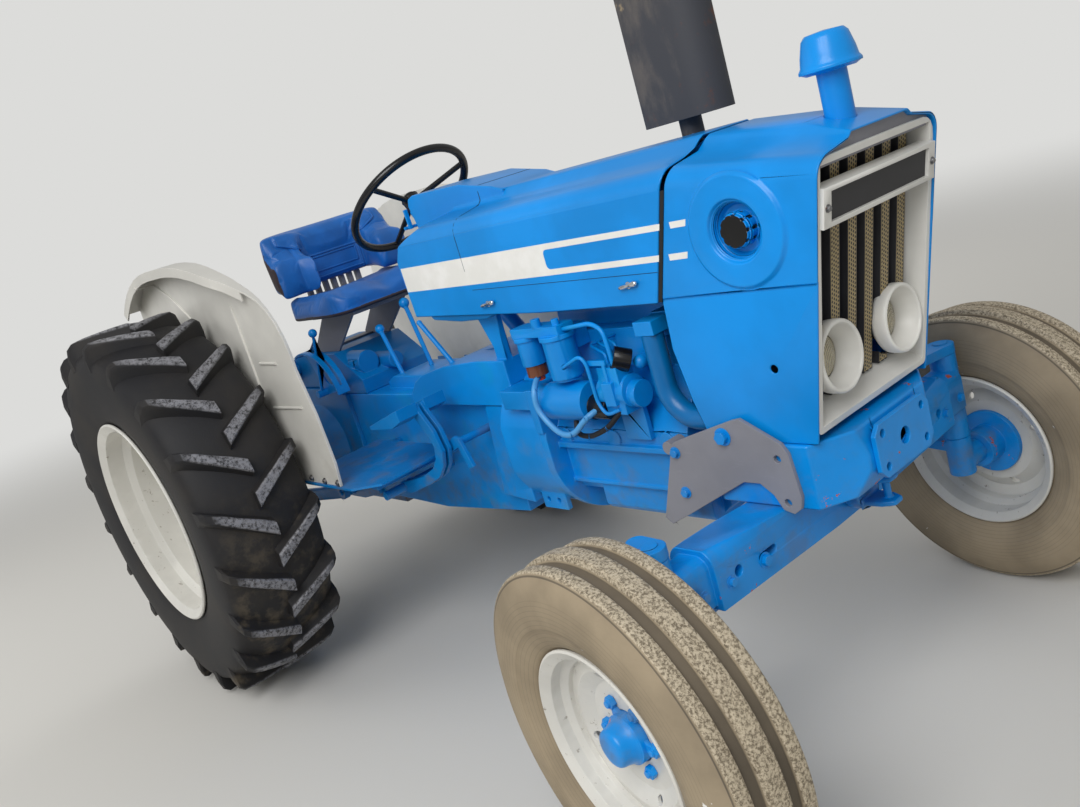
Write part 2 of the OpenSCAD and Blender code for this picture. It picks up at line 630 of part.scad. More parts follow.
// Hand lever on its slotted quadrant
quadrant_c = [215, 900];
quadrant_r = 180;
module quadrant() color(blue) place() {
    difference() {
        translate([quadrant_c[0], -205, quadrant_c[1]]) rotate([90, 0, 0])
            rotate([0, 0, 5]) rotate_extrude(angle = 110) translate([quadrant_r - 7, 0]) square([7, 50]);
        translate([quadrant_c[0], -205, quadrant_c[1]]) rotate([90, 0, 0])
            rotate([0, 0, 15]) rotate_extrude(angle = 90) translate([quadrant_r - 20, 20]) square([30, 10]);
    }
    difference() {
        side_plate(-208, 6) polygon(concat([quadrant_c],
            [for (p = arc(0, 0, quadrant_r - 3, 8, 112, 12)) quadrant_c + p]));
        across(quadrant_c[0] + 60, -208, quadrant_c[1] + 84, 45, 20);
    }
    across(quadrant_c[0], -(box_half + 250) / 2, quadrant_c[1] + 14, 14, 250 - box_half);
    translate([quadrant_c[0], -230, quadrant_c[1] + 14]) rotate([0, 22, 0]) {
        cylinder(r = 5, h = 250);
        translate([0, 0, 250]) sphere(r = 16);
    }
}

// Drawbar and its hanger
module drawbar() color(blue) place() difference() {
    union() {
        translate([-690, -38, 372]) cube([900, 76, 28]);
        for (x = [-170, 60]) translate([x, -70, 400]) cube([26, 140, 40]);
    }
    translate([-650, 0, 360]) cylinder(r = 14, h = 60);
}

// Things on the right-hand side of the engine
hose_x = engine_end_x - 20;
hose_y = 193;
hose_r = 27;
hose_top_z = 1056;
hose_low_z = 842;
hose_bend = 90;
starter_y = 228;
starter_x = engine_x + 108;
starter_l = 155;
module starter() {
    along(starter_x, -starter_y, 898, 52, starter_l);
    along(engine_x + 28, -starter_y + 26, 898, 36, starter_x - engine_x - 22);
    along(starter_x + starter_l - 1, -starter_y, 882, 32, 62);
    // Cable from behind the bowl round the starter, and the battery cable under it
    pipe([[starter_x - 40, -215, 985], [starter_x + 2, -291, 948], [starter_x - 5, -291, 896],
        [starter_x + 32, -291, 850], [starter_x + 68, -291, 826], [starter_x + 114, -291, 828],
        [starter_x + 172, -283, 874], [starter_x + 185, -245, 884]], 8);
    pipe([[starter_x + 80, -240, 860], [starter_x + 96, -266, 818], [starter_x + 150, -268, 814],
        [starter_x + 216, -262, 838], [starter_x + 262, -244, 880]], 7);
}
module fuel_filters() {
    // Columns: X, radius, bottom, top of each canister
    for (f = [[1647, 43, 968, 1072], [bowl_x, 34, 1004, 1072]]) translate([f[0], -232, f[2]]) {
        cylinder(r = f[1], h = f[3] - f[2]);
        translate([0, 0, f[3] - f[2]]) cylinder(r = f[1] + 5, h = 12);
        translate([0, 0, -8]) cylinder(r = f[1] - 8, h = 8.5);
    }
    // Glass of the bowl, and the nut under it
    translate([bowl_x, -232, 972]) cylinder(r = 29, h = 33);
    translate([bowl_x, -232, 958]) cylinder(r = 16, h = 15);
    translate([1498, -262, 1083]) cube([190, 60, 26]);
    translate([1600, -250, 1108]) cylinder(r = 13, h = 22);
    translate([1665, -240, 1108]) cylinder(r = 10, h = 16);
    translate([1560, -206, 1030]) cube([110, 206 - 146 - gap, 60]);
    // Long pipe over to the pump, and the short one from the canister
    pipe([[1680, -240, 1095], [pump_x + 44, -244, 1106], [pump_x + 82, -246, 1088],
        [pump_x + 86, -246, 1040], [pump_x + 80, -238, 960]], 6);
    pipe([[1670, -262, 1000], [pump_x - 4, -266, 1030], [pump_x + 10, -262, 1010],
        [pump_x + 8, -258, 905], [pump_x + 34, -262, 872], [pump_x + 72, -250, 884]], 5);
}
pump_x = engine_end_x - 208;
module injection_pump() {
    along(pump_x + 8, -214, 922, 42, 92);
    along(pump_x + 99, -210, 912, 34, 26);
    translate([pump_x + 14, -200, 782]) cube([84, 200 - block_half - gap, 128]);
    translate([pump_x + 26, -250, 870]) cube([68, 56, 122]);
    translate([pump_x + 40, -262, 896]) cube([36, 14, 60]);
    // Stop and throttle levers
    translate([pump_x + 4, -256, 1000]) cube([64, 8, 13]);
    translate([pump_x + 54, -256, 930]) cube([10, 8, 82]);
    // One pipe to each cylinder
    for (i = [0:2]) pipe([[pump_x + 36 + i * 22, -216, 990], [pump_x + 36 + i * 22, -216, 1018 + i * 13],
        [1700 + i * 32, -180, 1030 + i * 8], [1700 + i * 32, -146 - gap, 1030 + i * 8]], 4);
}
bowl_x = 1528;
// Oil filler with its cap, beside the pump
filler_x = engine_end_x - 90;
module oil_filler() {
    pipe([[filler_x, -146 - gap, 985], [filler_x, -186, 985], [filler_x - 20, -212, 1000]], 17);
    pipe([[filler_x - 14, -204, 995], [filler_x - 40, -234, 1014]], 28);
}
module engine_fittings() color(blue) place() {
    starter();
    fuel_filters();
    injection_pump();
    oil_filler();
}
radiator_x = wheelbase - 109;
fan_z = 1040;
module radiator() color("#303438") place() {
    translate([radiator_x, -190, 850]) cube([62, 380, 470]);
    translate([radiator_x - 8, -200, 1300]) cube([78, 400, 70]);
    translate([radiator_x - 8, -200, nose_bottom_z]) cube([78, 400, 60]);
    translate([radiator_x + 30, 60, 1360]) cylinder(r = 26, h = 40);
    difference() {
        translate([radiator_x - 40, -185, 870]) cube([40, 370, 400]);
        along(radiator_x - 60, 0, fan_z, 168, 55);
    }
    for (i = [0:2]) translate([radiator_x - 30, 0, fan_z]) rotate([i * 60, 0, 0])
        translate([0, -160, -25]) cube([8, 320, 50]);
    along(engine_end_x + 74 + gap, 0, fan_z, 20, radiator_x - engine_end_x - 74);
}
module water_hose() color("#1a4a80") place() {
    translate([hose_x, -hose_y, hose_low_z + hose_bend - 1])
        cylinder(r = hose_r, h = hose_top_z - hose_low_z - hose_bend + 1);
    translate([hose_x + hose_bend, -hose_y, hose_low_z + hose_bend]) rotate([90, 0, 0])
        rotate([0, 0, 180]) rotate_extrude(angle = 90) translate([hose_bend, 0]) circle(r = hose_r);
    along(hose_x + hose_bend - 1, -hose_y, hose_low_z, hose_r,
        radiator_x - 8 - gap - hose_x - hose_bend + 1);
}

// Hood, cut from one cross-section and one side view, less a smaller one inside
function section(t) = let (h = hood_half - t, k = 44 - t, z = crease_z - t) concat(
    [[h, 1000]], arc(h - k, z - k, k, 0, 84, 6), [[118, z + 12], [92, ridge_z - t - 6], [80, ridge_z - t],
    [-80, ridge_z - t], [-92, ridge_z - t - 6], [-118, z + 12]],
    arc(-h + k, z - k, k, 96, 180, 6), [[-h, 1000]]);
function seam_at(z) = seam_x + seam_lean * (z - seam_z);
module hood_block(t) intersection() {
    cross_bar(900, 1400) polygon(section(t));
    side_plate(0, 600) polygon([[hood_rear_x + 8 + t, hood_bottom_z - (t > 0 ? 60 : 0)],
        [1220, 1153 - (t > 0 ? 60 : 0)], [1600, 1139 - (t > 0 ? 60 : 0)],
        [seam_x + (t > 0 ? 40 : 0), seam_z - (t > 0 ? 60 : 0)], [seam_at(1500) + 10 * t, 1500],
        [1300, 1500], [1200, 1440 - t], [1120, 1410 - t], [1040 + t, 1380 - t],
        [hood_rear_x + t, 1335]]);
}
hub_x = 841;
hub_z = 1497;
column_r = 24;
// The steering column's own frame: its hub at zero, with Z along the column up to the driver
module on_column() translate([hub_x, 0, hub_z]) rotate([0, column_tilt - 90, 0]) children();
exhaust_x = engine_end_x - 13;
exhaust_y = 110;
exhaust_r = 28;
module hood() color(blue) place() difference() {
    union() {
        difference() {
            hood_block(0);
            hood_block(panel_t);
        }
        // Instrument hump
        side_plate(0, 212) polygon([[996, 1395], [974, 1480], [982, 1502], [1010, 1510],
            [1250, 1503], [1400, 1474], [1440, ridge_z - 3], [1440, 1400]]);
    }
    on_column() translate([0, 0, -500]) cylinder(r = column_r + gap, h = 500);
    translate([exhaust_x, exhaust_y, 1300]) cylinder(r = exhaust_r + 8, h = 300);
}
tank_half = hood_half - panel_t - gap;
module fuel_tank() color(blue) place() difference() {
    side_plate(0, 2 * tank_half) polygon([[1062, 1180], [1100, 1146], [1230, tank_z0],
        [1360, tank_z0], [1400, 1146], [seam_x - 136, 1146], [seam_x - 136, 1370], [1090, 1370],
        [1062, 1340]]);
    on_column() translate([0, 0, -600]) cylinder(r = column_r + 12, h = 600);
}

cleaner_x = wheelbase + 225;
stem_r = 30;
// Nose: leans with the grille, its top falling forward, the ridge dying out ahead of the stem
nose_fall = 6.6;
nose_lip_z = crease_z - 22;
fade_x = cleaner_x - stem_r;
fade_z = ridge_z - (fade_x - seam_at(crease_z)) * tan(nose_fall);
module nose_block(t) intersection() {
    translate([seam_at(crease_z), 0, crease_z]) rotate([0, nose_fall, 0])
        translate([0, 0, -crease_z]) cross_bar(-300, 900) polygon([for (p = section(t))
            [p[0], p[1] < 1100 ? 500 : p[1]]]);
    side_plate(0, 600) polygon([[seam_at(1500) + nose_gap - 6 * t, 1500],
        [seam_x + nose_gap - t, seam_z], [wheelbase - 164 - t, 1025],
        [wheelbase - 144 - t, 901], [wheelbase - 118 - t, nose_bottom_z - t], [grille_x0 + 1 + t, nose_bottom_z - t],
        [grille_x0 + 4 + t, 814], [grille_x0 + lean * 562 + 10 + t, 1379],
        [grille_x0 + lean * 562 + 12 + t, nose_lip_z - t], [fade_x, fade_z - t]]);
}
dish_x = wheelbase + 91;
dish_z = 1268;
dish_rise = 8;
cup_r = 62;
cup_depth = 26;
knob_r = 35;
knob_lobes = 9;
crease_low_z = 1143;
// Lobed hand knob in the middle of a dish, drawn about Y with its face to the right
module knob() rotate([90, 0, 0]) linear_extrude(cup_depth + 10) difference() {
    circle(r = knob_r);
    for (i = [0:knob_lobes - 1]) rotate(i * 360 / knob_lobes) translate([knob_r + 3, 0])
        circle(r = 6);
}
module nose() color(blue) place() difference() {
    union() {
        difference() {
            nose_block(0);
            nose_block(panel_t);
        }
        // Raised dish on each side, its cup and the hand knob in it
        both() difference() {
            union() {
                translate([dish_x, -hood_half + 1, dish_z]) rotate([90, 0, 0])
                    cylinder(r1 = dish_r, r2 = dish_r - dish_rise, h = dish_rise + 1);
                across(dish_x, -hood_half + (cup_depth + 6) / 2, dish_z, cup_r + 6, cup_depth + 6);
            }
            translate([dish_x, -hood_half + cup_depth, dish_z]) rotate([90, 0, 0])
                cylinder(r1 = cup_r - 12, r2 = cup_r + 5, h = cup_depth + dish_rise + 1);
        }
        both() translate([dish_x, -hood_half + cup_depth + 1, dish_z]) knob();
    }
    both() {
        // Side wall inside each dish's cup, outside the knob
        difference() {
            across(dish_x, -hood_half + panel_t, dish_z, cup_r - 4, 2 * panel_t + 2);
            across(dish_x, -hood_half + panel_t, dish_z, knob_r + 1, 40);
        }
        across(wheelbase + 102, -hood_half, 972, 9, 40);
        // Lower half of the side, set in under a crease
        translate([seam_x - 60, -hood_half - 10, nose_bottom_z - 60])
            cube([grille_x0 - seam_x + 190, 12, crease_low_z - nose_bottom_z + 60]);
    }
    translate([cleaner_x, 0, 1350]) cylinder(r = stem_r + gap, h = 200);
}

// Grille, drawn upright and leant forward
module on_grille() translate([grille_x0, 0, grille_z0]) rotate([0, grille_lean, 0]) children();
frame_half = hood_half - panel_t - gap;
frame_side = 26;
frame_top = 17;
frame_bottom = 42;
frame_face = 15;
frame_depth = 50;
badge_z0 = 436;
badge_h = 78;
// A rounded outline in Y and Z, between two heights
function rounded(half, z0, z1, r0, r1) = concat(arc(-half + r0, z0 + r0, r0, 180, 270, 4),
    arc(half - r0, z0 + r0, r0, 270, 360, 4), arc(half - r1, z1 - r1, r1, 0, 90, 4),
    arc(-half + r1, z1 - r1, r1, 90, 180, 4));
frame_z1 = grille_l - 4;
// Space inside the surround: its walls slant in from the face to the columns
module frame_space() intersection() {
    side_plate(0, 600) polygon([[-frame_depth - 1, 6 + frame_bottom], [5, 6 + frame_face],
        [5, frame_z1 - frame_face], [-frame_depth - 1, frame_z1 - frame_top]]);
    linear_extrude(600) polygon([[-frame_depth - 1, -frame_half + frame_side],
        [5, -frame_half + frame_face], [5, frame_half - frame_face],
        [-frame_depth - 1, frame_half - frame_side]]);
}
module grille_frame() color(cream) place() difference() {
    on_grille() {
        difference() {
            union() {
                cross_bar(-20, 24) polygon(rounded(frame_half, 6, frame_z1, 12, 46));
                cross_bar(-frame_depth, frame_depth) polygon(rounded(frame_half - 3, 9,
                    frame_z1 - 12, 12, 46));
            }
            frame_space();
        }
        // Bare badge bar, its face ahead of the surround
        difference() {
            translate([-20, -frame_half + 10, badge_z0]) cube([34, 2 * frame_half - 20, badge_h]);
            translate([6, -frame_half + 36, badge_z0 + 10])
                cube([20, 2 * frame_half - 72, badge_h - 20]);
        }
    }
    lamp_space(lamp_r + gap);
}
lamp_x = grille_x0 + 28;
lamp_y = 124;
lamp_z = 962;
column_w = 44;
column_x = -frame_depth;
module lamp_space(r) both() along(lamp_x - 130, -lamp_y, lamp_z, r, 220);
module grille_columns() color("#3a3a3c") place() difference() {
    on_grille() intersection() {
        for (i = [0:column_count - 1]) {
            pitch = 2 * (frame_half - frame_side) / column_count;
            y = -frame_half + frame_side + pitch * (i + 0.5);
            translate([column_x, y, 6 + frame_bottom + gap])
                linear_extrude(frame_z1 - frame_top - frame_bottom - 6 - 2 * gap) polygon([
                    [0, -column_w / 2], [16, -column_w / 2 + 4], [16, -12], [10, -9], [10, -6],
                    [16, -3], [16, 3], [10, 6], [10, 9], [16, 12], [16, column_w / 2 - 4],
                    [0, column_w / 2]]);
        }
        translate([-100, -frame_half + frame_side + gap, 0])
            cube([150, 2 * (frame_half - frame_side - gap), 600]);
    }
    lamp_space(lamp_r + gap);
}
module headlamps() color(cream) place() {
    both() translate([lamp_x, -lamp_y, lamp_z]) rotate([0, 90, 0]) {
        rotate_extrude($fn = 64) polygon([[0, -84], [34, -80], [lamp_r - 18, -40], [lamp_r - 8, -30],
            [lamp_r, -24], [lamp_r, 2], [lamp_r - 4, 7], [lamp_r - 10, 6], [lamp_r - 13, -2],
            [lamp_r * 0.6, 4], [lamp_r * 0.3, 8], [0, 9]]);
    }
    translate([lamp_x - 84, -frame_half, lamp_z - 20]) cube([8, 2 * frame_half, 40]);
}

// Air pre-cleaner on the nose
module pre_cleaner() color(blue) place() translate([cleaner_x, 0, 0]) rotate_extrude($fn = 64)
    polygon([[0, 1376], [stem_r, 1376], [stem_r, 1512], [48, 1512], [58, 1517], [62, 1517],
        [62, 1523], [57, 1530], [54, 1548], [46, 1578], [38, 1587], [0, 1590]]);

// Upright exhaust: manifold, pipe and flat oval silencer
muffler_z0 = 1500;
muffler_z1 = 1850;
muffler_l = 246;
muffler_w = 126;
exhaust_top = 2060;
module exhaust() color("#77736e") place() {
    pipe([[engine_x + 58, 176, 1012], [exhaust_x - 12, 176, 1012], [exhaust_x - 12, 176, 1100],
        [exhaust_x, exhaust_y, 1150], [exhaust_x, exhaust_y, muffler_z0 + 10]], exhaust_r);
    for (i = [0:2]) translate([engine_x + 30 + i * (engine_end_x - engine_x - 168) / 2, 146 + gap, 985])
        cube([60, 40, 56]);
    translate([0, 0, muffler_z0]) linear_extrude(muffler_z1 - muffler_z0) {
        translate([exhaust_x - muffler_l / 2 + muffler_w / 2, exhaust_y]) circle(r = muffler_w / 2);
        translate([exhaust_x + muffler_l / 2 - muffler_w / 2, exhaust_y]) circle(r = muffler_w / 2);
        translate([exhaust_x - muffler_l / 2 + muffler_w / 2, exhaust_y - muffler_w / 2])
            square([muffler_l - muffler_w, muffler_w]);
    }
    translate([exhaust_x, exhaust_y, muffler_z1 - 1]) difference() {
        cylinder(r = exhaust_r, h = exhaust_top - muffler_z1 + 1);
        translate([0, 0, 20]) cylinder(r = exhaust_r - 3, h = exhaust_top);
        translate([-exhaust_r - 20, -60, exhaust_top - muffler_z1 - 14]) rotate([0, -28, 0])
            cube([120, 120, 80]);
    }
}

// Steering column and wheel
module steering_column() color(blue) place() on_column() difference() {
    union() {
        translate([0, 0, gap - column_l]) cylinder(r = column_r, h = column_l - gap - 40);
        translate([0, 0, -90]) cylinder(r = 31, h = 50);
        // Hand throttle
        translate([0, 0, -100]) rotate([90, 0, 0]) cylinder(r = 5, h = 96);
        translate([0, -84, -108]) rotate([0, 34, 0]) cube([9, 12, 62]);
    }
    translate([0, 0, -90]) cylinder(r = 12 + fit, h = 60);
}
module steering_wheel() color(rubber) place() on_column() {
    rotate_extrude($fn = 96) translate([steering_r, 0]) circle(r = 13);
    translate([0, 0, -40 + gap]) cylinder(r = 30, h = 46);
    translate([0, 0, -80]) cylinder(r = 12, h = 60);
    translate([0, 0, 6]) cylinder(r1 = 30, r2 = 22, h = 10);
    for (i = [0:2]) rotate(i * 120 + 60) translate([0, 0, -10]) rotate([0, 87, 0])
        cylinder(r = 9, h = steering_r - 2);
}

// Seat
seat_x = 170;
seat_z = 1190;
back_z0 = 1300;
back_z1 = 1513;
module seat_support() color(grey) place() {
    translate([seat_x + 10, -150, seat_z - 14]) cube([cushion_d - 60, 300, 14 - gap]);
    both() side_plate(-115, 10) polygon([[60, cover_top_z], [240, cover_top_z],
        [440, seat_z - 12], [200, seat_z - 12], [60, cover_top_z + 14]]);
    translate([60, -120, cover_top_z]) cube([60, 240, 8]);
    for (i = [-3:3]) translate([seat_x - 26, i * 36 - 9, seat_z - 14])
        cube([22, 18, back_z0 - seat_z + 14 - gap]);
    translate([seat_x - 26, -130, seat_z - 14]) cube([60, 260, 10]);
}
module seat_cushion() color(blue) place() translate([seat_x, 0, seat_z])
    linear_extrude(cushion_t) polygon(concat([[0, -seat_w / 2 + 20], [20, -seat_w / 2]],
        arc(cushion_d - 70, -seat_w / 2 + 70, 70, -90, 0, 6),
        arc(cushion_d - 70, seat_w / 2 - 70, 70, 0, 90, 6),
        [[20, seat_w / 2], [0, seat_w / 2 - 20]]));
wing_x = 345;
wing_drop = 24;
// Back pillow with a thick bolster along each side
module seat_backrest() color(blue) place() intersection() {
    translate([0, 0, back_z0 - wing_drop]) linear_extrude(back_z1 - back_z0 + wing_drop) difference() {
        polygon(concat([[wing_x, -seat_w / 2 - 35]], arc(225, -seat_w / 2 + 80, 115, 270, 180, 6),
            arc(225, seat_w / 2 - 80, 115, 180, 90, 6), [[wing_x, seat_w / 2 + 35]]));
        polygon(concat([[wing_x + 5, -seat_w / 2 + 95]], arc(235, -seat_w / 2 + 135, 40, 270, 180, 5),
            arc(235, seat_w / 2 - 135, 40, 180, 90, 5), [[wing_x + 5, seat_w / 2 - 95]]));
    }
    side_plate(0, seat_w + 80) polygon([[80, back_z0], [230, back_z0],
        [wing_x - 24, back_z0 - wing_drop], [wing_x, back_z0], [wing_x, 1390], [wing_x - 18, 1410],
        [290, 1418], [250, 1444], [222, 1490], [200, back_z1], [130, back_z1],
        [106, back_z1 - 30], [80, 1400]]);
}

// Shell fenders over the rear tyres
plate_top_z = 718;
fender_top_z = 1520;
fender_foot_x = 778;
// Outer line of the fender from its foot, over the tyre, to its rear edge
function fender_side(t) = concat([[fender_foot_x - t, plate_top_z + gap], [fender_foot_x + 15 - t, 800],
    [fender_foot_x + 6 - t, 965]], arc(500, 1150, 257 - t, -8, 62, 6),
    [[520, fender_top_z - 95 - t], [439, fender_top_z - 65 - t], [350, fender_top_z - 36 - t],
        [271, fender_top_z - 17 - t], [190, fender_top_z - 6 - t], [100, fender_top_z - t]],
    arc(-44, fender_top_z - 712, 712 - t, 90, 125.5, 6));
// Plan of the rolled top, narrowing to a plain edge at the front; e sets its outer edge in
function fender_plan(e) = let (w = fender_top_w) [[-900, -fender_y], [-900, -fender_y - w + e],
    [300, -fender_y - w + e], [440, -fender_y - w * 0.85 + e], [560, -fender_y - w * 0.5 + e],
    [670, -fender_y - w * 0.2 + e], [720, -fender_y - w * 0.14 + e],
    [900, -fender_y - w * 0.14 + e], [900, -fender_y]];
lip_depth = 34;
module fender() {
    w = fender_top_w;
    // Inner side
    side_plate(-fender_y - fender_t / 2, fender_t) polygon(concat(fender_side(0),
        [[-470, 1150], [-400, fender_bottom_z], [430, fender_bottom_z], [480, plate_top_z + gap]]));
    // Rolled top, widest at the rear
    intersection() {
        difference() {
            side_plate(-fender_y - w / 2, w) polygon(concat(fender_side(0), [[0, 700]]));
            side_plate(-fender_y - w / 2, w + 2) polygon(concat(fender_side(fender_t),
                [[-700, 1300], [-700, 600], [fender_foot_x - fender_t, 600]]));
        }
        translate([0, 0, 700]) linear_extrude(900) polygon(fender_plan(0));
    }
    // Turned-down outer edge
    intersection() {
        difference() {
            side_plate(-fender_y - w / 2, w) polygon(concat(fender_side(0), [[0, 700]]));
            side_plate(-fender_y - w / 2, w + 2) polygon(concat(fender_side(lip_depth),
                [[-700, 1290], [-700, 600], [fender_foot_x - lip_depth, 600]]));
        }
        translate([0, 0, 700]) linear_extrude(900) difference() {
            polygon(fender_plan(0));
            polygon(fender_plan(fender_t));
            translate([600, -fender_y - w]) square([400, w]);
        }
    }
}
module fender_right() color(cream) place() fender();
module fender_left() color(cream) place() left_of() fender();

// Footplates on their carriers, with the pedals
module footplates() color(blue) place() {
    both() {
        translate([0, 0, plate_top_z - 8]) linear_extrude(8) polygon([[440, -fender_y - 12],
            [845, -fender_y - 12], [941, -483], [940, -301], [905, -box_half - 36],
            [440, -box_half - 36]]);
        for (x = [500, 860]) translate([x, -480, plate_top_z - 28]) cube([40, 480 - box_half, 20]);
    }
    pedals();
}

// Bent-strap pedals on their cross shaft: the two brakes side by side, and the clutch
module strap(y) side_plate(y, 14) polygon([[800, 620], [850, 614], [985, 656], [1058, 688],
    [1100, 727], [1120, 776], [1104, 842], [1062, 900], [1050, 926], [1014, 912], [1030, 880],
    [1076, 808], [1082, 786], [1070, 750], [1036, 716], [960, 682], [840, 656], [806, 652]]);
module pad(y) side_plate(y, 74) polygon([[1056, 934], [1060, 898], [1000, 874], [872, 866],
    [866, 878]]);
module pedals() {
    // Columns: place of a strap, and of its pad; the clutch's stands outside the drag link
    for (p = [[-320, -280], [-344, -384], [354, 348]]) {
        strap(p[0]);
        pad(p[1]);
    }
    across(820, -(box_half + 425) / 2, 636, 15, 425 - box_half);
    across(820, (box_half + 364) / 2, 636, 15, 364 - box_half);
    // Brake rod's bell crank ahead of the pedals
    side_plate(-300, 12) polygon([[1040, 762], [1130, 806], [1156, 800], [1190, 712], [1166, 704],
        [1140, 772], [1050, 738]]);
    across(1128, -(box_half + 306) / 2, 782, 12, 306 - box_half);
}

// Three-point linkage
arm_y = 181;
rod_y = 207;
rod_at = 420;
function lift_end() = [rock_x - lift_l * cos(rock_rest), rock_z - lift_l * sin(rock_rest)];
function link_point(l) = [link_x - l * cos(link_drop), link_z - l * sin(link_drop)];
function link_side(l) = link_y + (link_y_end - link_y) * l / link_l;
module lift_arms() color(blue) place() {
    across(rock_x, 0, rock_z, 25, 2 * arm_y);
    both() {
        side_plate(-arm_y, 18) flat_bar([rock_x, rock_z], lift_end(), 42, 24);
        across(lift_end()[0], -arm_y - 17, lift_end()[1], 11 - fit, 34);
    }
}
module lift_rod() {
    p = [lift_end()[0], -rod_y, lift_end()[1]];
    q = [link_point(rod_at)[0], -link_side(rod_at) + 27, link_point(rod_at)[1]];
    l = norm(q - p);
    d = q - p;
    difference() {
        union() {
            translate(p) rotate([90, 0, 0]) cylinder(r = 24, h = 18, center = true);
            translate(p) rotate([0, acos(d[2] / l), atan2(d[1], d[0])]) {
                translate([0, 0, 16]) cylinder(r = 12, h = l - 30);
                translate([0, 0, 150]) cylinder(r = 19, h = 140);
            }
            translate(q) rotate([90, 0, 0]) cylinder(r = 22, h = 20, center = true);
        }
        translate(p) rotate([90, 0, 0]) cylinder(r = 11, h = 60, center = true);
    }
}
module lift_rod_right() color(blue) place() lift_rod();
module lift_rod_left() color(blue) place() left_of() lift_rod();
module lower_link() {
    p = [link_x, -link_y, link_z];
    e = [link_point(link_l)[0], -link_y_end, link_point(link_l)[1]];
    splay = atan2(link_y_end - link_y, link_l * cos(link_drop));
    l = norm(e - p);
    difference() {
        union() {
            translate(p) rotate([90, 0, 0]) cylinder(r = 30, h = 26, center = true);
            translate(p) rotate([0, 0, splay]) rotate([0, -link_drop, 0])
                translate([-l + 20, -9, -26]) cube([l - 40, 18, 52]);
            translate(e) rotate([90, 0, 0]) cylinder(r = 30, h = 34, center = true);
        }
        translate(p) rotate([90, 0, 0]) cylinder(r = link_bore_r, h = 80, center = true);
        translate(e) rotate([90, 0, 0]) cylinder(r = link_bore_r, h = 80, center = true);
    }
}
module lower_link_right() color(blue) place() lower_link();
module lower_link_left() color(blue) place() left_of() lower_link();

rear_tyre_right();
rear_rim_right();
rear_tyre_left();
rear_rim_left();
front_tyre_right();
front_rim_right();
front_hub_right();
front_tyre_left();
front_rim_left();
front_hub_left();
knuckle_right();
knuckle_left();
tie_rod();
drag_link();
drop_arm();
steering_wheel();
rear_axle();
gearbox();
engine();
front_casting();
front_plate();
side_brackets();
front_axle();
hydraulics();
quadrant();
drawbar();
engine_fittings();
radiator();
water_hose();
hood();
fuel_tank();
nose();
grille_frame();
grille_columns();
headlamps();
pre_cleaner();
exhaust();
steering_column();
seat_support();
seat_cushion();
seat_backrest();
fender_right();
fender_left();
footplates();
lift_arms();
lift_rod_right();
lift_rod_left();
lower_link_right();
lower_link_left();
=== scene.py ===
"""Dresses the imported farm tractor: paint, tyres, trim, seat and a small studio."""

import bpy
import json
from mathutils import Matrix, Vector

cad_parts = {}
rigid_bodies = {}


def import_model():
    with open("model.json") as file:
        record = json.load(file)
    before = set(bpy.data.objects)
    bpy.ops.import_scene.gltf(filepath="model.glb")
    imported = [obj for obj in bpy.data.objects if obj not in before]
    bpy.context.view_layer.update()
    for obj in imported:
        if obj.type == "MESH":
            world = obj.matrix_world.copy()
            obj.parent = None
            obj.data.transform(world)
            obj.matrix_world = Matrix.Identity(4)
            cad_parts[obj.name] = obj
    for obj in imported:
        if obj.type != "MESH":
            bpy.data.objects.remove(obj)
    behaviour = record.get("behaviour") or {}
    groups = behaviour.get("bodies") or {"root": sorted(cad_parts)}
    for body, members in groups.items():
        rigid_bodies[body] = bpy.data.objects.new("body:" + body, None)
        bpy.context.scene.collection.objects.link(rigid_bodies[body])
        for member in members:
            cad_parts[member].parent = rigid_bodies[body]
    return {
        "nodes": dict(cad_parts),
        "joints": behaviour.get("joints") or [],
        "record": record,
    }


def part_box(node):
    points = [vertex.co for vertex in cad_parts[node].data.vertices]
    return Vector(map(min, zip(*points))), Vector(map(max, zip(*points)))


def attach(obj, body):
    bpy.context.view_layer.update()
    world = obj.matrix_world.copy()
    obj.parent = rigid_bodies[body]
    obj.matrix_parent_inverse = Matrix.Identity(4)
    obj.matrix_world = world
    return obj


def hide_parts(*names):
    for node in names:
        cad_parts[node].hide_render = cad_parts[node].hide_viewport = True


bl_info = {
    "name": "Farm Tractor Dressing",
    "version": (1, 0, 0),
    "blender": (4, 5, 0),
    "location": "View3D > Sidebar > Tractor",
    "description": "Paint, tyres, trim, seat and studio for a farm tractor with shell fenders",
    "category": "Object",
}

import json
import math

import bmesh
import bpy
from bpy.props import FloatProperty, FloatVectorProperty, IntProperty, PointerProperty
from mathutils import Matrix, Vector
from mathutils.bvhtree import BVHTree
from mathutils.geometry import intersect_point_line

for leftover in list(bpy.data.objects):
    bpy.data.objects.remove(leftover)
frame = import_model()
NODES = frame["nodes"]
BODY_OF = {n: body for body, names in frame["record"]["behaviour"]["bodies"].items() for n in names}
JOINTS = {joint["name"]: joint for joint in frame["joints"]}
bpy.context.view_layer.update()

MM = 0.001
REAR_LOW, REAR_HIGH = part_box("rear_tyre_right")
AXLE_X = (REAR_LOW.x + REAR_HIGH.x) / 2


def at(x, y, z):
    """A place in millimetres: ahead of the rear axle, left of the middle, above the ground."""
    return Vector((AXLE_X + x * MM, y * MM, z * MM))


def local(co):
    """A place in the frame as millimetres ahead of the rear axle, left and up."""
    return (co.x - AXLE_X) / MM, co.y / MM, co.z / MM


def linear(code):
    """A painter's hex colour as the linear values that a shader takes."""
    parts = [int(code[i:i + 2], 16) / 255 for i in (1, 3, 5)]
    return tuple(c / 12.92 if c <= 0.04045 else ((c + 0.055) / 1.055) ** 2.4 for c in parts)


def scaled(colour, k):
    """A colour made lighter or darker."""
    return tuple(min(1.0, c * k) for c in colour[:3])


# Settings that a user would change


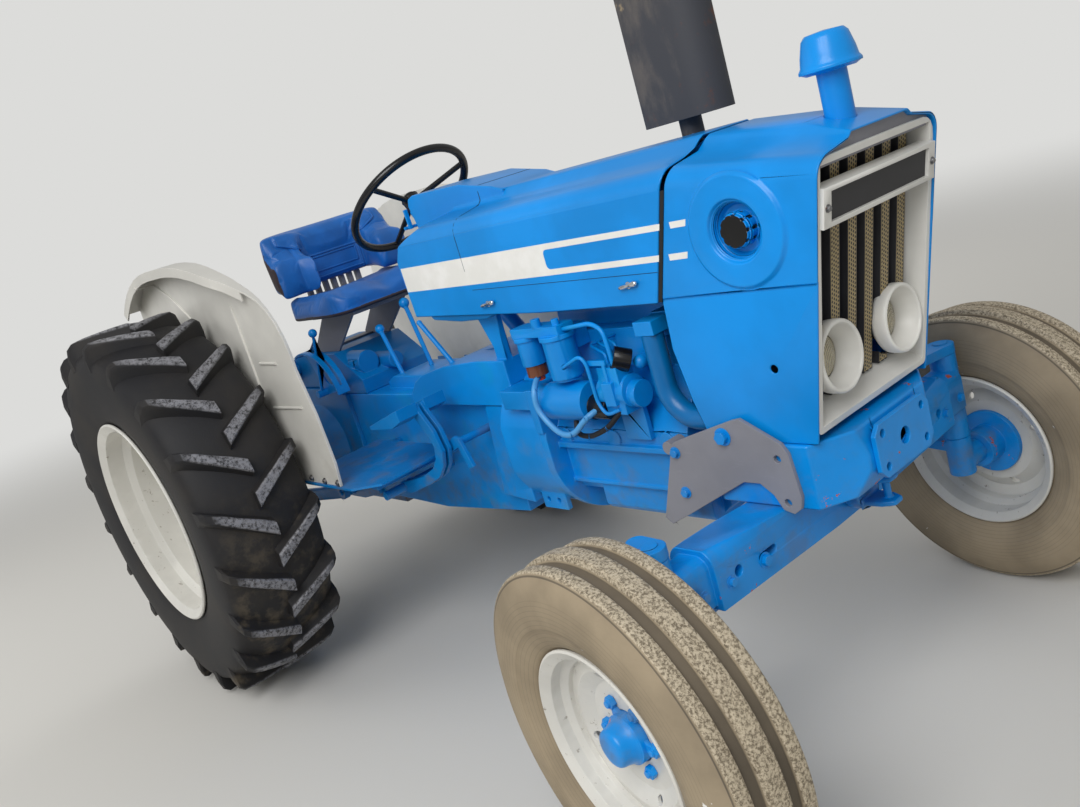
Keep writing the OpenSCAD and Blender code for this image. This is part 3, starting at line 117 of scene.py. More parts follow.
def colour_setting(name, what, code):
    return FloatVectorProperty(name=name, description=what, subtype="COLOR", size=3,
                               min=0, max=1, default=linear(code))


class TractorPaint(bpy.types.PropertyGroup):
    """Colours of the tractor's finishes."""
    blue: colour_setting("Body blue", "Gloss paint on the panels and castings", "#008ce0")
    cream: colour_setting("Wheel cream", "Paint on the rims, fenders and grille", "#d9d7d0")
    white: colour_setting("Stripe white", "Bands along the hood and the lamp bezels", "#e4e3de")
    grey: colour_setting("Bracket grey", "Flat paint on the side brackets", "#85858c")
    rubber: colour_setting("Rubber", "Clean tyre rubber", "#1f1f22")
    dust: colour_setting("Dust", "Dry earth on the tyres", "#93856f")
    primer: colour_setting("Primer", "Undercoat that shows where paint has chipped", "#b5563c")
    rust: colour_setting("Rust", "Rust on the silencer and the bolts", "#6b3a20")


class TractorTyres(bpy.types.PropertyGroup):
    """Shape of the lugs and ribs."""
    lugs: IntProperty(name="Lugs a side", description="Lugs along each side of a rear tyre",
                      default=20, min=16, max=24)
    lug_bevel: FloatProperty(name="Lug rounding", description="Rounding of a lug's worn edges",
                             default=5 * MM, min=MM, max=9 * MM, unit="LENGTH")
    steps: IntProperty(name="Steps", description="Steps round a tyre", default=128, min=48, max=256)


class TractorTrim(bpy.types.PropertyGroup):
    """Small pieces fixed to the panels."""
    band_t: FloatProperty(name="Band thickness", description="Stand of a band on the hood",
                          default=0.5 * MM, min=0.1 * MM, max=MM, unit="LENGTH")
    strip_w: FloatProperty(name="Seal width", description="Rubber strip between hood and nose",
                           default=11 * MM, min=6 * MM, max=14 * MM, unit="LENGTH")
    hole_pitch: FloatProperty(name="Mesh pitch", description="Distance between grille holes",
                              default=9 * MM, min=7 * MM, max=14 * MM, unit="LENGTH")


class TractorStudio(bpy.types.PropertyGroup):
    """Camera, lamps and floor."""
    place: FloatVectorProperty(name="Camera place", description="Camera ahead of the rear axle",
                               subtype="TRANSLATION", size=3, default=(3.5218, -1.7588, 1.5242))
    yaw: FloatProperty(name="Yaw", description="Direction that the camera faces",
                       default=math.radians(143.0), subtype="ANGLE")
    pitch: FloatProperty(name="Pitch", description="Tilt of the camera above level",
                         default=math.radians(-14.06), subtype="ANGLE")
    roll: FloatProperty(name="Roll", description="Turn of the camera about its own line of sight",
                        default=math.radians(-16.82), subtype="ANGLE")
    lens: FloatProperty(name="Lens", description="Focal length in millimetres on a 36 mm sensor",
                        default=32.07, min=10, max=200)
    key: FloatProperty(name="Key lamp", description="Power of the main lamp in watts",
                       default=190, min=0)
    fill: FloatProperty(name="Fill lamp", description="Power of the second lamp in watts",
                        default=65, min=0)
    sky: FloatProperty(name="Sky", description="Strength of the light from all round",
                       default=0.6, min=0)


# Shader nodes


def node(tree, kind, inputs=None, **options):
    """A new node, with values or other nodes' outputs on its sockets."""
    made = tree.nodes.new(kind)
    for key, value in options.items():
        setattr(made, key, value)
    for key, value in (inputs or {}).items():
        if isinstance(value, bpy.types.NodeSocket):
            tree.links.new(value, made.inputs[key])
        else:
            made.inputs[key].default_value = value
    return made


def rgba(value):
    """A colour with its alpha, or a socket as it is."""
    return value if isinstance(value, bpy.types.NodeSocket) else (*value[:3], 1)


def layer(tree, factor, under, over):
    """One colour laid over another."""
    return node(tree, "ShaderNodeMix", {0: factor, 6: rgba(under), 7: rgba(over)},
                data_type="RGBA").outputs[2]


def ratio(tree, factor, low, high):
    """A number between two others."""
    return node(tree, "ShaderNodeMix", {0: factor, 2: low, 3: high}).outputs[0]


def calc(tree, operation, a, b=0.0):
    return node(tree, "ShaderNodeMath", {0: a, 1: b}, operation=operation).outputs[0]


def times(tree, a, b):
    return calc(tree, "MULTIPLY", a, b)


def levels(tree, value, low, high):
    """0 below low, 1 above high and smooth between; low may be the greater."""
    return node(tree, "ShaderNodeMapRange", {"Value": value, "From Min": low, "From Max": high},
                interpolation_type="SMOOTHSTEP").outputs["Result"]


def mottle(tree, place, scale, detail=4.0, rough=0.55):
    return node(tree, "ShaderNodeTexNoise", {"Vector": place, "Scale": scale, "Detail": detail,
                                             "Roughness": rough}).outputs["Fac"]


def stretched(tree, place, factors):
    """Coordinates stretched along the axes, for streaks and brush marks."""
    return node(tree, "ShaderNodeMapping", {"Vector": place, "Scale": factors}).outputs["Vector"]


def blank(name, roughness, **sockets):
    """A material with its shader, its object coordinates and the values set all over it."""
    material = bpy.data.materials.new(name)
    material.use_nodes = True
    tree = material.node_tree
    shader = tree.nodes["Principled BSDF"]
    shader.inputs["Roughness"].default_value = roughness
    for key, value in sockets.items():
        shader.inputs[key.replace("_", " ")].default_value = value
    place = node(tree, "ShaderNodeTexCoord").outputs["Object"]
    return material, tree, shader, place


def finish_colour(tree, shader, colour):
    tree.links.new(colour, shader.inputs["Base Color"])


def finish_bump(tree, shader, height, strength, distance):
    relief = node(tree, "ShaderNodeBump", {"Height": height, "Strength": strength,
                                           "Distance": distance})
    tree.links.new(relief.outputs["Normal"], shader.inputs["Normal"])


def low_lying(tree, place, top, bottom):
    """1 near the ground, falling to 0 at a height."""
    height = node(tree, "ShaderNodeSeparateXYZ", {0: place}).outputs["Z"]
    return levels(tree, height, top, bottom)


def gloss_paint(name, colour, grime=0.2, chips=0.0, grain=0.0, green=0.0):
    """Brushed gloss paint, with grime low down, chips to the primer and a cast surface under it."""
    coats = bpy.context.scene.tractor_paint
    material, tree, shader, place = blank(name, 0.35, Coat_Weight=0.12, Coat_Roughness=0.12,
                                          Specular_IOR_Level=0.35)
    broad = mottle(tree, place, 3.1)
    tone = layer(tree, levels(tree, broad, 0.35, 0.68), scaled(colour, 0.86), scaled(colour, 1.07))
    if green:
        patch = times(tree, levels(tree, mottle(tree, place, 6.5), 0.56, 0.7), green)
        tone = layer(tree, patch, tone, (colour[0], colour[1] * 1.35, colour[2] * 0.55))
    dust = levels(tree, mottle(tree, place, 11, 8.0, 0.62), 0.46, 0.7)
    dust = times(tree, dust, low_lying(tree, place, 1.05, 0.35))
    dust = times(tree, dust, grime)
    tone = layer(tree, dust, tone, scaled(coats.dust, 0.55))
    if chips:
        edge = 0.72 - 0.07 * chips
        flake = levels(tree, mottle(tree, place, 21, 8.0, 0.66), edge, edge + 0.02)
        tone = layer(tree, flake, tone, coats.primer)
    finish_colour(tree, shader, tone)
    brush = mottle(tree, stretched(tree, place, (30, 30, 9)), 1.0, 5.0)
    cast = mottle(tree, place, 240, 3.0)
    finish_bump(tree, shader, ratio(tree, grain, brush, cast), 0.09 + 0.25 * grain, 1.2 * MM)
    tree.links.new(ratio(tree, dust, 0.33 + 0.1 * grain, 0.75), shader.inputs["Roughness"])
    return material


def flat_paint(name, colour):
    """Thin matt paint with scuffs and a few chips to the primer."""
    coats = bpy.context.scene.tractor_paint
    material, tree, shader, place = blank(name, 0.55)
    tone = layer(tree, levels(tree, mottle(tree, place, 5), 0.3, 0.7), scaled(colour, 0.9),
                 scaled(colour, 1.06))
    scuff = levels(tree, mottle(tree, stretched(tree, place, (16, 16, 70)), 1.0, 6.0), 0.6, 0.72)
    tone = layer(tree, times(tree, scuff, 0.25), tone, scaled(colour, 1.35))
    flake = levels(tree, mottle(tree, place, 26, 8.0, 0.66), 0.719, 0.734)
    finish_colour(tree, shader, layer(tree, flake, tone, coats.primer))
    finish_bump(tree, shader, mottle(tree, place, 130, 3.0), 0.1, MM)
    return material


def wheel_cream():
    """Sprayed cream on the rims, greyed by dust, with grey rub marks and specks of rust."""
    coats = bpy.context.scene.tractor_paint
    material, tree, shader, place = blank("wheel cream", 0.38, Coat_Weight=0.15)
    tone = layer(tree, levels(tree, mottle(tree, place, 4), 0.35, 0.7), scaled(coats.cream, 0.86),
                 coats.cream)
    specks = levels(tree, mottle(tree, place, 46, 8.0, 0.7), 0.63, 0.66)
    tone = layer(tree, times(tree, specks, 0.7), tone, scaled(coats.dust, 0.6))
    spots = levels(tree, mottle(tree, place, 31, 6.0, 0.7), 0.715, 0.73)
    finish_colour(tree, shader, layer(tree, spots, tone, coats.rust))
    finish_bump(tree, shader, mottle(tree, place, 22, 4.0), 0.08, MM)
    return material


def rubber_base(name, roughness):
    """A rubber with the height of the tread read from the mesh."""
    material, tree, shader, place = blank(name, roughness, Specular_IOR_Level=0.35)
    radius = node(tree, "ShaderNodeAttribute", attribute_name="radius").outputs["Fac"]
    return material, tree, shader, place, radius


def rear_rubber():
    """Black rubber, worn grey on the lugs, with brown earth between them."""
    coats = bpy.context.scene.tractor_paint
    material, tree, shader, place, radius = rubber_base("rear tyre rubber", 0.62)
    cloud = levels(tree, mottle(tree, place, 5.5, 6.0), 0.35, 0.75)
    tone = layer(tree, times(tree, cloud, 0.2), coats.rubber, scaled(coats.dust, 0.25))
    valley = times(tree, levels(tree, radius, 0.668, 0.652), levels(tree, radius, 0.60, 0.64))
    mud = times(tree, valley, levels(tree, mottle(tree, place, 14, 8.0, 0.65), 0.45, 0.66))
    mud = times(tree, mud, low_lying(tree, place, 0.9, 0.3))
    tone = layer(tree, times(tree, mud, 0.7), tone, scaled(coats.dust, 0.42))
    top = times(tree, levels(tree, radius, 0.676, 0.684),
                levels(tree, mottle(tree, place, 70, 8.0, 0.8), 0.38, 0.56))
    tone = layer(tree, times(tree, top, 0.9), tone, linear("#8b8b90"))
    finish_colour(tree, shader, tone)
    finish_bump(tree, shader, mottle(tree, place, 150, 6.0, 0.7), 0.35, 1.5 * MM)
    tree.links.new(ratio(tree, top, 0.62, 0.42), shader.inputs["Roughness"])
    return material


def front_rubber():
    """Rubber greyed with dust, speckled on the ribs, with splashes of white paint on its sides and
    painted shade in its grooves.
    """
    coats = bpy.context.scene.tractor_paint
    material, tree, shader, place, radius = rubber_base("front tyre rubber", 0.72)
    cloud = levels(tree, mottle(tree, place, 5, 5.0), 0.3, 0.7)
    side = layer(tree, cloud, scaled(coats.dust, 0.82), scaled(coats.dust, 1.2))
    rings = calc(tree, "SINE", times(tree, radius, 620.0))
    rings = times(tree, levels(tree, rings, 0.75, 1.0), levels(tree, radius, 0.35, 0.33))
    side = layer(tree, times(tree, rings, 0.25), side, scaled(coats.dust, 0.4))
    rib = levels(tree, radius, 0.3845, 0.388)
    speck = levels(tree, mottle(tree, place, 170, 6.0, 0.75), 0.4, 0.58)
    worn = layer(tree, speck, scaled(coats.dust, 0.55), linear("#c0b39c"))
    tone = layer(tree, rib, side, worn)
    # Painted shade: the grooves between the ribs are darkened towards black rubber.
    groove_shade = times(tree, levels(tree, radius, 0.3845, 0.382), levels(tree, radius, 0.379, 0.3805))
    tone = layer(tree, times(tree, groove_shade, 0.6), tone, scaled(coats.rubber, 1.3))
    drop = levels(tree, mottle(tree, place, 17, 5.0, 0.6), 0.70, 0.715)
    drop = times(tree, drop, levels(tree, radius, 0.375, 0.365))
    finish_colour(tree, shader, layer(tree, drop, tone, coats.white))
    finish_bump(tree, shader, mottle(tree, place, 120, 7.0, 0.75), 0.4, 1.2 * MM)
    return material


def sooty_steel():
    """Black heat paint, gone to rust in patches and grey where it is bare."""
    coats = bpy.context.scene.tractor_paint
    material, tree, shader, place = blank("silencer steel", 0.7)
    streaks = stretched(tree, place, (6, 6, 3))
    patch = levels(tree, mottle(tree, streaks, 1.0, 7.0, 0.65), 0.45, 0.62)
    tone = layer(tree, patch, linear("#3c3d42"), linear("#5a5552"))
    rust = levels(tree, mottle(tree, place, 9, 8.0, 0.7), 0.55, 0.68)
    tone = layer(tree, rust, tone, coats.rust)
    pale = levels(tree, mottle(tree, place, 6.5, 8.0, 0.6), 0.63, 0.7)
    finish_colour(tree, shader, layer(tree, pale, tone, linear("#a5916f")))
    finish_bump(tree, shader, mottle(tree, place, 90, 6.0), 0.3, MM)
    return material


def bare_metal(name, colour, roughness, rust=0.0):
    """Plated or machined metal, dulled by fine scratches."""
    coats = bpy.context.scene.tractor_paint
    material, tree, shader, place = blank(name, roughness, Metallic=1.0)
    tone = layer(tree, levels(tree, mottle(tree, place, 60, 5.0), 0.4, 0.7), colour,
                 scaled(colour, 0.7))
    if rust:
        spot = levels(tree, mottle(tree, place, 85, 5.0), 0.62 - 0.1 * rust, 0.7)
        tone = layer(tree, spot, tone, coats.rust)
    finish_colour(tree, shader, tone)
    finish_bump(tree, shader, mottle(tree, place, 300, 3.0), 0.12, 0.4 * MM)
    return material


def moulded(name, colour, roughness, scale, strength):
    """Moulded plastic or rubber with a fine grain and a little dust."""
    material, tree, shader, place = blank(name, roughness)
    cloud = times(tree, levels(tree, mottle(tree, place, 13, 6.0), 0.4, 0.75), 0.35)
    finish_colour(tree, shader, layer(tree, cloud, colour, scaled(colour, 1.6)))
    finish_bump(tree, shader, mottle(tree, place, scale, 3.0), strength, 0.6 * MM)
    return material


def seat_vinyl():
    """Blue vinyl with a fine leather grain and a tone that varies at random."""
    material, tree, shader, place = blank("seat vinyl", 0.42, Sheen_Weight=0.1)
    base = linear("#0862b4")
    tone = layer(tree, levels(tree, mottle(tree, place, 7, 5.0), 0.35, 0.7), scaled(base, 0.82),
                 scaled(base, 1.12))
    finish_colour(tree, shader, tone)
    cells = node(tree, "ShaderNodeTexVoronoi", {"Vector": place, "Scale": 520.0},
                 feature="DISTANCE_TO_EDGE").outputs["Distance"]
    finish_bump(tree, shader, calc(tree, "MINIMUM", cells, 0.12), 0.25, 0.5 * MM)
    return material


def lens_glass():
    """Fluted clear glass."""
    material, tree, shader, place = blank("lamp glass", 0.06, Transmission_Weight=0.92, IOR=1.48)
    finish_colour(tree, shader, layer(tree, levels(tree, mottle(tree, place, 30), 0.4, 0.7),
                                      linear("#f4f2e8"), linear("#e6e0cc")))
    flutes = node(tree, "ShaderNodeTexWave", {"Vector": place, "Scale": 48.0},
                  bands_direction="Y").outputs["Fac"]
    finish_bump(tree, shader, flutes, 0.35, MM)
    return material


# Plastic and rubber, with some painted light and shade: colour, roughness, scale and strength of
# the grain
MOULDED = {
    "black rubber": ("#17181b", 0.6, 180, 0.12), "black plastic": ("#121214", 0.24, 90, 0.1),
    # The dark grille finish is also painted shade on the columns' sides, behind the mesh's holes
    # and in the lamps' recesses; the gold mesh finish paints the mesh's front as it looks sunlit
    # and reflecting.
    "grille dark and painted shade": ("#26262a", 0.45, 120, 0.15), "mesh gold and painted sunlight": ("#a8966c", 0.35, 200, 0.1),
    # The lamps' mirrors are a pale diffuse colour, a painted reflection.
    "radiator black": ("#1a1c20", 0.55, 160, 0.3), "reflector painted reflection": ("#efe4c4", 0.2, 60, 0.05),
    "sediment": ("#6a3a22", 0.15, 40, 0.2), "orange ring": ("#e8502c", 0.4, 60, 0.05),
    # The cable's paler blue is its blue paint with a painted highlight.
    "cable blue with painted highlight": ("#4b97d2", 0.4, 90, 0.05), "seat trim": ("#33272a", 0.5, 260, 0.1),
    # The dark gap finish is a real dark panel gap, and also the painted shade of the hood's pressed
    # crease.
    "panel gap and crease shade": ("#0a2440", 0.6, 90, 0.05),
}
FINISHES = {}


def make_finishes():
    """Every finish, under the name that the pieces use."""
    coats = bpy.context.scene.tractor_paint
    for name, (code, *grain) in MOULDED.items():
        FINISHES[name] = moulded(name, linear(code), *grain)
    FINISHES.update({
        "panel blue": gloss_paint("panel blue", coats.blue, grime=0.15),
        "cast blue": gloss_paint("cast blue", coats.blue, grime=0.5, grain=0.35, green=0.15),
        "axle blue": gloss_paint("axle blue", coats.blue, grime=0.45, chips=0.9, grain=0.15),
        "hose blue": gloss_paint("hose blue", scaled(coats.blue, 0.6), grime=0.3, grain=0.1),
        "rear blue": gloss_paint("rear blue", scaled(coats.blue, 0.72), grime=0.9, grain=0.35),
        "wheel cream": wheel_cream(),
        "fender cream": gloss_paint("fender cream", coats.cream, grime=0.45),
        "trim white": gloss_paint("trim white", coats.white, grime=0.2),
        "band white": moulded("band white", coats.white, 0.35, 60, 0.03),
        "bracket grey": flat_paint("bracket grey", coats.grey),
        "rear rubber": rear_rubber(),
        "front rubber": front_rubber(),
        "silencer steel": sooty_steel(),
        "bolt steel": bare_metal("bolt steel", linear("#9a9a9c"), 0.42, rust=0.4),
        "chrome": bare_metal("chrome", linear("#e4e6ea"), 0.14),
        "lamp glass": lens_glass(),
        "seat vinyl": seat_vinyl(),
    })


# Meshes


def add_object(name, mesh, finish):
    """A new object at the origin with one finish."""
    made = bpy.data.objects.new(name, mesh)
    bpy.context.scene.collection.objects.link(made)
    mesh.materials.clear()
    mesh.materials.append(FINISHES[finish])
    return made


def keep(obj, body, replaced=()):
    """Puts a finished piece on its body, and says which solids it stands for."""
    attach(obj, body)
    if replaced:
        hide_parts(*replaced)
    return obj


def settle(obj):
    """Turns an object's modifiers into its plain mesh."""
    graph = bpy.context.evaluated_depsgraph_get()
    mesh = bpy.data.meshes.new_from_object(obj.evaluated_get(graph), depsgraph=graph)
    obj.modifiers.clear()
    old = obj.data
    obj.data = mesh
    mesh.name = obj.name
    bpy.data.meshes.remove(old)
    return obj


def smooth(mesh, angle):
    """Smooth shading that breaks at sharp corners."""
    mesh.shade_smooth()
    mesh.set_sharp_from_angle(angle=math.radians(angle))


def moved(mesh, matrix):
    """A mesh put in its place, its faces still outwards after a mirror."""
    mesh.transform(matrix)
    if matrix.determinant() < 0:
        mesh.flip_normals()
    return mesh


def note_radius(mesh):
    """Each point's distance from the wheel's own axis, for its finish."""
    field = mesh.attributes.new("radius", "FLOAT", "POINT")
    for vertex in mesh.vertices:
        field.data[vertex.index].value = math.hypot(vertex.co.x, vertex.co.y)


def eased(points, passes=1, closed=False):
    """A profile with its corners cut."""
    for _ in range(passes):
        cut = [] if closed else [points[0]]
        pairs = list(zip(points, points[1:] + points[:1])) if closed else zip(points, points[1:])
        for (a, b), (c, d) in pairs:
            cut += [(a * 0.75 + c * 0.25, b * 0.75 + d * 0.25),
                    (a * 0.25 + c * 0.75, b * 0.25 + d * 0.75)]
        points = cut if closed else cut + [points[-1]]
    return points


def revolved(name, profile, steps, closed=False):
    """A profile of radius and height in millimetres, turned about Z."""
    points, faces, count = [], [], len(profile)
    for i in range(steps):
        turn = 2 * math.pi * i / steps
        points += [(r * MM * math.cos(turn), r * MM * math.sin(turn), z * MM) for r, z in profile]
    for i in range(steps):
        here, there = i * count, (i + 1) % steps * count
        for j in range(count if closed else count - 1):
            k = (j + 1) % count
            faces.append((here + j, there + j, there + k, here + k))
    mesh = bpy.data.meshes.new(name)
    mesh.from_pydata(points, [], faces)
    tidy(mesh)
    return mesh


def tidy(mesh, distance=0.01 * MM):
    """Merges doubles and turns every face outwards."""
    shape = bmesh.new()
    shape.from_mesh(mesh)
    bmesh.ops.remove_doubles(shape, verts=shape.verts, dist=distance)
    bmesh.ops.dissolve_degenerate(shape, edges=shape.edges, dist=distance / 10)
    bmesh.ops.recalc_face_normals(shape, faces=shape.faces)
    shape.to_mesh(mesh)
    shape.free()


def sheet(name, outline, depth, bevel=0.0, segments=2):
    """An outline in millimetres in local X and Y, given a thickness along Z and rounded edges."""
    shape = bmesh.new()
    corners = [shape.verts.new((x * MM, y * MM, 0)) for x, y in outline]
    base = shape.faces.new(corners)
    grown = bmesh.ops.extrude_face_region(shape, geom=[base])
    top = [v for v in grown["geom"] if isinstance(v, bmesh.types.BMVert)]
    bmesh.ops.translate(shape, verts=top, vec=(0, 0, depth * MM))
    bmesh.ops.recalc_face_normals(shape, faces=shape.faces)
    if bevel:
        bmesh.ops.bevel(shape, geom=shape.edges[:], offset=bevel * MM, segments=segments,
                        affect="EDGES", profile=0.6)
    mesh = bpy.data.meshes.new(name)
    shape.to_mesh(mesh)
    shape.free()
    return mesh


def tube(name, points, radius, finish, roundness=2):
    """A pipe or wire of a radius in millimetres along points given in the frame's metres."""
    line = bpy.data.curves.new(name, "CURVE")
    line.dimensions = "3D"
    line.bevel_depth = radius * MM
    line.bevel_resolution = roundness
    line.use_fill_caps = True
    spline = line.splines.new("POLY")
    spline.points.add(len(points) - 1)
    for point, place in zip(spline.points, points):
        point.co = (*place, 1)
    holder = bpy.data.objects.new(name, line)
    bpy.context.scene.collection.objects.link(holder)
    graph = bpy.context.evaluated_depsgraph_get()
    mesh = bpy.data.meshes.new_from_object(holder.evaluated_get(graph), depsgraph=graph)
    bpy.data.objects.remove(holder)
    bpy.data.curves.remove(line)
    tidy(mesh)
    smooth(mesh, 50)
    return add_object(name, mesh, finish)


def merged(name, meshes):
    """Several meshes as one."""
    shape = bmesh.new()
    for mesh in meshes:
        shape.from_mesh(mesh)
        bpy.data.meshes.remove(mesh)
    whole = bpy.data.meshes.new(name)
    shape.to_mesh(whole)
    shape.free()
    return whole


def joined(name, meshes, finish):
    """Several meshes as one object."""
    return add_object(name, merged(name, meshes), finish)


def mesh_of(obj):
    """An object's mesh, with the object itself taken away."""
    mesh = obj.data
    bpy.data.objects.remove(obj)
    return mesh


def without(obj, tests):
    """Takes away the faces that lie wholly where one of the tests says."""
    shape = bmesh.new()
    shape.from_mesh(obj.data)
    gone = [face for face in shape.faces
            if any(all(test(v.co) for v in face.verts) for test in tests)]
    bmesh.ops.delete(shape, geom=gone, context="FACES")
    shape.to_mesh(obj.data)
    shape.free()


def softened(node_name, finish, width=2.0, angle=30, segments=2, whole_faces=True):
    """A copy of a solid with its sharp edges rounded and its round faces smooth."""
    mesh = NODES[node_name].data.copy()
    shape = bmesh.new()
    shape.from_mesh(mesh)
    bmesh.ops.remove_doubles(shape, verts=shape.verts, dist=0.03 * MM)
    bmesh.ops.dissolve_degenerate(shape, edges=shape.edges, dist=0.01 * MM)
    if whole_faces:
        bmesh.ops.dissolve_limit(shape, angle_limit=math.radians(0.8), verts=shape.verts,
                                 edges=shape.edges)
    shape.to_mesh(mesh)
    shape.free()
    obj = add_object(node_name + "_dressed", mesh, finish)
    smooth(mesh, angle)
    if width:
        rounding = obj.modifiers.new("rounded edges", "BEVEL")
        rounding.width = width * MM
        rounding.segments = segments
        rounding.limit_method = "ANGLE"
        rounding.angle_limit = math.radians(angle)
        rounding.use_clamp_overlap = False
        rounding.harden_normals = True
        settle(obj)
        obj.data.materials.clear()
        obj.data.materials.append(FINISHES[finish])
    return keep(obj, BODY_OF[node_name], [node_name])


def within(points, radius):
    """A test for places in a round pipe through points in millimetres, its two ends cut flat."""
    line = [at(*point) for point in points]

    def inside(place):
        for i, (a, b) in enumerate(zip(line, line[1:])):
            axis = b - a
            share = (place - a).dot(axis) / axis.length_squared
            past = (share < 0 and i == 0) or (share > 1 and i == len(line) - 2)
            nearest = a + axis * min(1.0, max(0.0, share))
            if not past and (place - nearest).length <= radius * MM:
                return True
        return False
    return inside


def tint(obj, finish, inside):
    """Gives another finish to the faces that lie wholly where a test says."""
    mesh = obj.data
    mesh.materials.append(FINISHES[finish])
    for face in mesh.polygons:
        if all(inside(mesh.vertices[i].co) for i in face.vertices):
            face.material_index = len(mesh.materials) - 1


def ramp(value, low, high):
    """0 below low, 1 above high and smooth between; low may be the greater."""
    share = min(1.0, max(0.0, (value - low) / (high - low)))
    return share * share * (3 - 2 * share)


def skin_tree(obj):
    """The object's surface, for finding where a line of sight meets it."""
    faces = [face.vertices[:] for face in obj.data.polygons]
    return BVHTree.FromPolygons([vertex.co for vertex in obj.data.vertices], faces)


def on_skin(tree, start, target, lift=0.0):
    """Where the line from start to target first meets the surface, lifted back a little."""
    ahead = (target - start).normalized()
    hit = tree.ray_cast(start, ahead)[0]
    return hit - ahead * lift * MM if hit else None


def dense(points, pitch):
    """The same line with a point at least every pitch."""
    made = [points[0]]
    for a, b in zip(points, points[1:]):
        steps = max(1, math.ceil(math.dist(a, b) / pitch))
        made += [tuple(p + (q - p) * i / steps for p, q in zip(a, b)) for i in range(1, steps + 1)]
    return made


def bead(name, skin, sights, radius, finish, lift):
    """A round line along a surface, found by lines of sight given as start and target."""
    spots = [on_skin(skin, start, target, lift) for start, target in sights]
    return tube(name, [spot for spot in spots if spot], radius, finish)


def bent(points, reach):
    """A path whose corners are turned into bends that start a reach before them."""
    made = [points[0]]
    for before, corner, after in zip(points, points[1:], points[2:]):
        ends = []
        for other in (before, after):
            share = min(0.45, reach / math.dist(corner, other))
            ends.append([c + (o - c) * share for c, o in zip(corner, other)])
        for i in range(6):
            t = i / 5
            made.append(tuple(a * (1 - t) ** 2 + 2 * c * t * (1 - t) + b * t ** 2
                              for a, c, b in zip(ends[0], corner, ends[1])))
    return made + [points[-1]]


HEX = [(math.cos(math.radians(60 * i)), math.sin(math.radians(60 * i))) for i in range(6)]
WASHER_T = 1.8


def bolt_mesh(radius):
    """A six-sided head on its washer, standing on the plane at zero."""
    wide, high = radius * 1.35, radius * 0.75 + WASHER_T
    washer = revolved("washer", [(0, 0), (wide, 0), (wide, WASHER_T), (0, WASHER_T)], 24)
    head = sheet("head", [(radius * x, radius * y) for x, y in HEX], high, 0.7, 1)
    mesh = merged("bolt", [washer, head])
    smooth(mesh, 30)
    return mesh


def fastened(name, finish, body, places):
    """Bolts in one finish; columns: place in millimetres, way they face, radius."""
    heads = []
    for place, way, radius in places:
        turn = Vector(way).to_track_quat("Z", "Y").to_matrix().to_4x4()
        heads.append(moved(bolt_mesh(radius), Matrix.Translation(at(*place)) @ turn))
    return keep(joined(name, heads, finish), body)


# Copies in a ring or a row


def copies_tree():
    """Geometry nodes that repeat the incoming mesh, each copy turned and shifted from the last."""
    tree = bpy.data.node_groups.get("copies")
    if tree:
        return tree
    tree = bpy.data.node_groups.new("copies", "GeometryNodeTree")
    face = tree.interface
    face.new_socket("Geometry", in_out="INPUT", socket_type="NodeSocketGeometry")
    face.new_socket("Count", in_out="INPUT", socket_type="NodeSocketInt")
    face.new_socket("Step", in_out="INPUT", socket_type="NodeSocketVector")
    face.new_socket("Turn", in_out="INPUT", socket_type="NodeSocketFloat")
    face.new_socket("Start", in_out="INPUT", socket_type="NodeSocketFloat")
    face.new_socket("Finish", in_out="INPUT", socket_type="NodeSocketMaterial")
    face.new_socket("Geometry", in_out="OUTPUT", socket_type="NodeSocketGeometry")
    given = tree.nodes.new("NodeGroupInput").outputs
    result = tree.nodes.new("NodeGroupOutput")
    line = node(tree, "GeometryNodeMeshLine", {"Count": given["Count"], "Offset": given["Step"]})
    index = node(tree, "GeometryNodeInputIndex").outputs[0]
    turned = times(tree, index, given["Turn"])
    angle = node(tree, "ShaderNodeCombineXYZ", {"Z": calc(tree, "ADD", turned, given["Start"])})
    placed = node(tree, "GeometryNodeInstanceOnPoints", {
        "Points": line.outputs["Mesh"], "Instance": given["Geometry"],
        "Rotation": angle.outputs["Vector"]})
    real = node(tree, "GeometryNodeRealizeInstances", {0: placed.outputs[0]})
    coated = node(tree, "GeometryNodeSetMaterial", {"Geometry": real.outputs[0],
                                                    "Material": given["Finish"]})
    tree.links.new(coated.outputs[0], result.inputs[0])
    return tree


def repeated(obj, finish, count, step=(0, 0, 0), turn=0.0, start=0.0):
    """The object's mesh repeated by the copies tree and made plain again."""
    tree = copies_tree()
    modifier = obj.modifiers.new("copies", "NODES")
    modifier.node_group = tree
    values = {"Count": count, "Step": step, "Turn": turn, "Start": start,
              "Finish": FINISHES[finish]}
    for item in tree.interface.items_tree:
        if item.in_out == "INPUT" and item.name in values:
            modifier[item.identifier] = values[item.name]
    return settle(obj)


# Wheels

SIDES = {"right": -1, "left": 1}


def wheel_place(tyre, joint, side):
    """From a wheel drawn about Z, outer face up and Y upwards, to its place on the tractor."""
    low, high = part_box(tyre)
    axis = Vector(JOINTS[joint]["axis"])
    leftwards = axis if axis.y > 0 else -axis
    ahead = Vector((leftwards.y, -leftwards.x, 0))
    turn = Matrix((ahead, Vector((0, 0, 1)), leftwards * side)).transposed().to_4x4()
    return Matrix.Translation((low + high) / 2) @ turn


REAR_SIDE = [(356, 150), (385, 166), (440, 180), (530, 188), (588, 186), (620, 173), (642, 120),
             (652, 60), (655, 0)]
LUG_TOP = 687
# Stations along a lug: outboard, behind its nose, half its width, height of its top and foot
LUG_STATIONS = [(-12, 0, 24, 687, 648), (30, 28, 22, 687, 648), (77, 57, 19, 686, 644),
                (125, 88, 18, 684, 634), (160, 110, 17, 679, 618), (178, 121, 17, 664, 600),
                (186, 127, 15, 634, 586)]

# How far a lug's flank stands out at its foot and its shoulder, and how low the shoulder lies
FOOT_FLARE, SHOULDER_FLARE, SHOULDER_DROP = 13, 2, 14


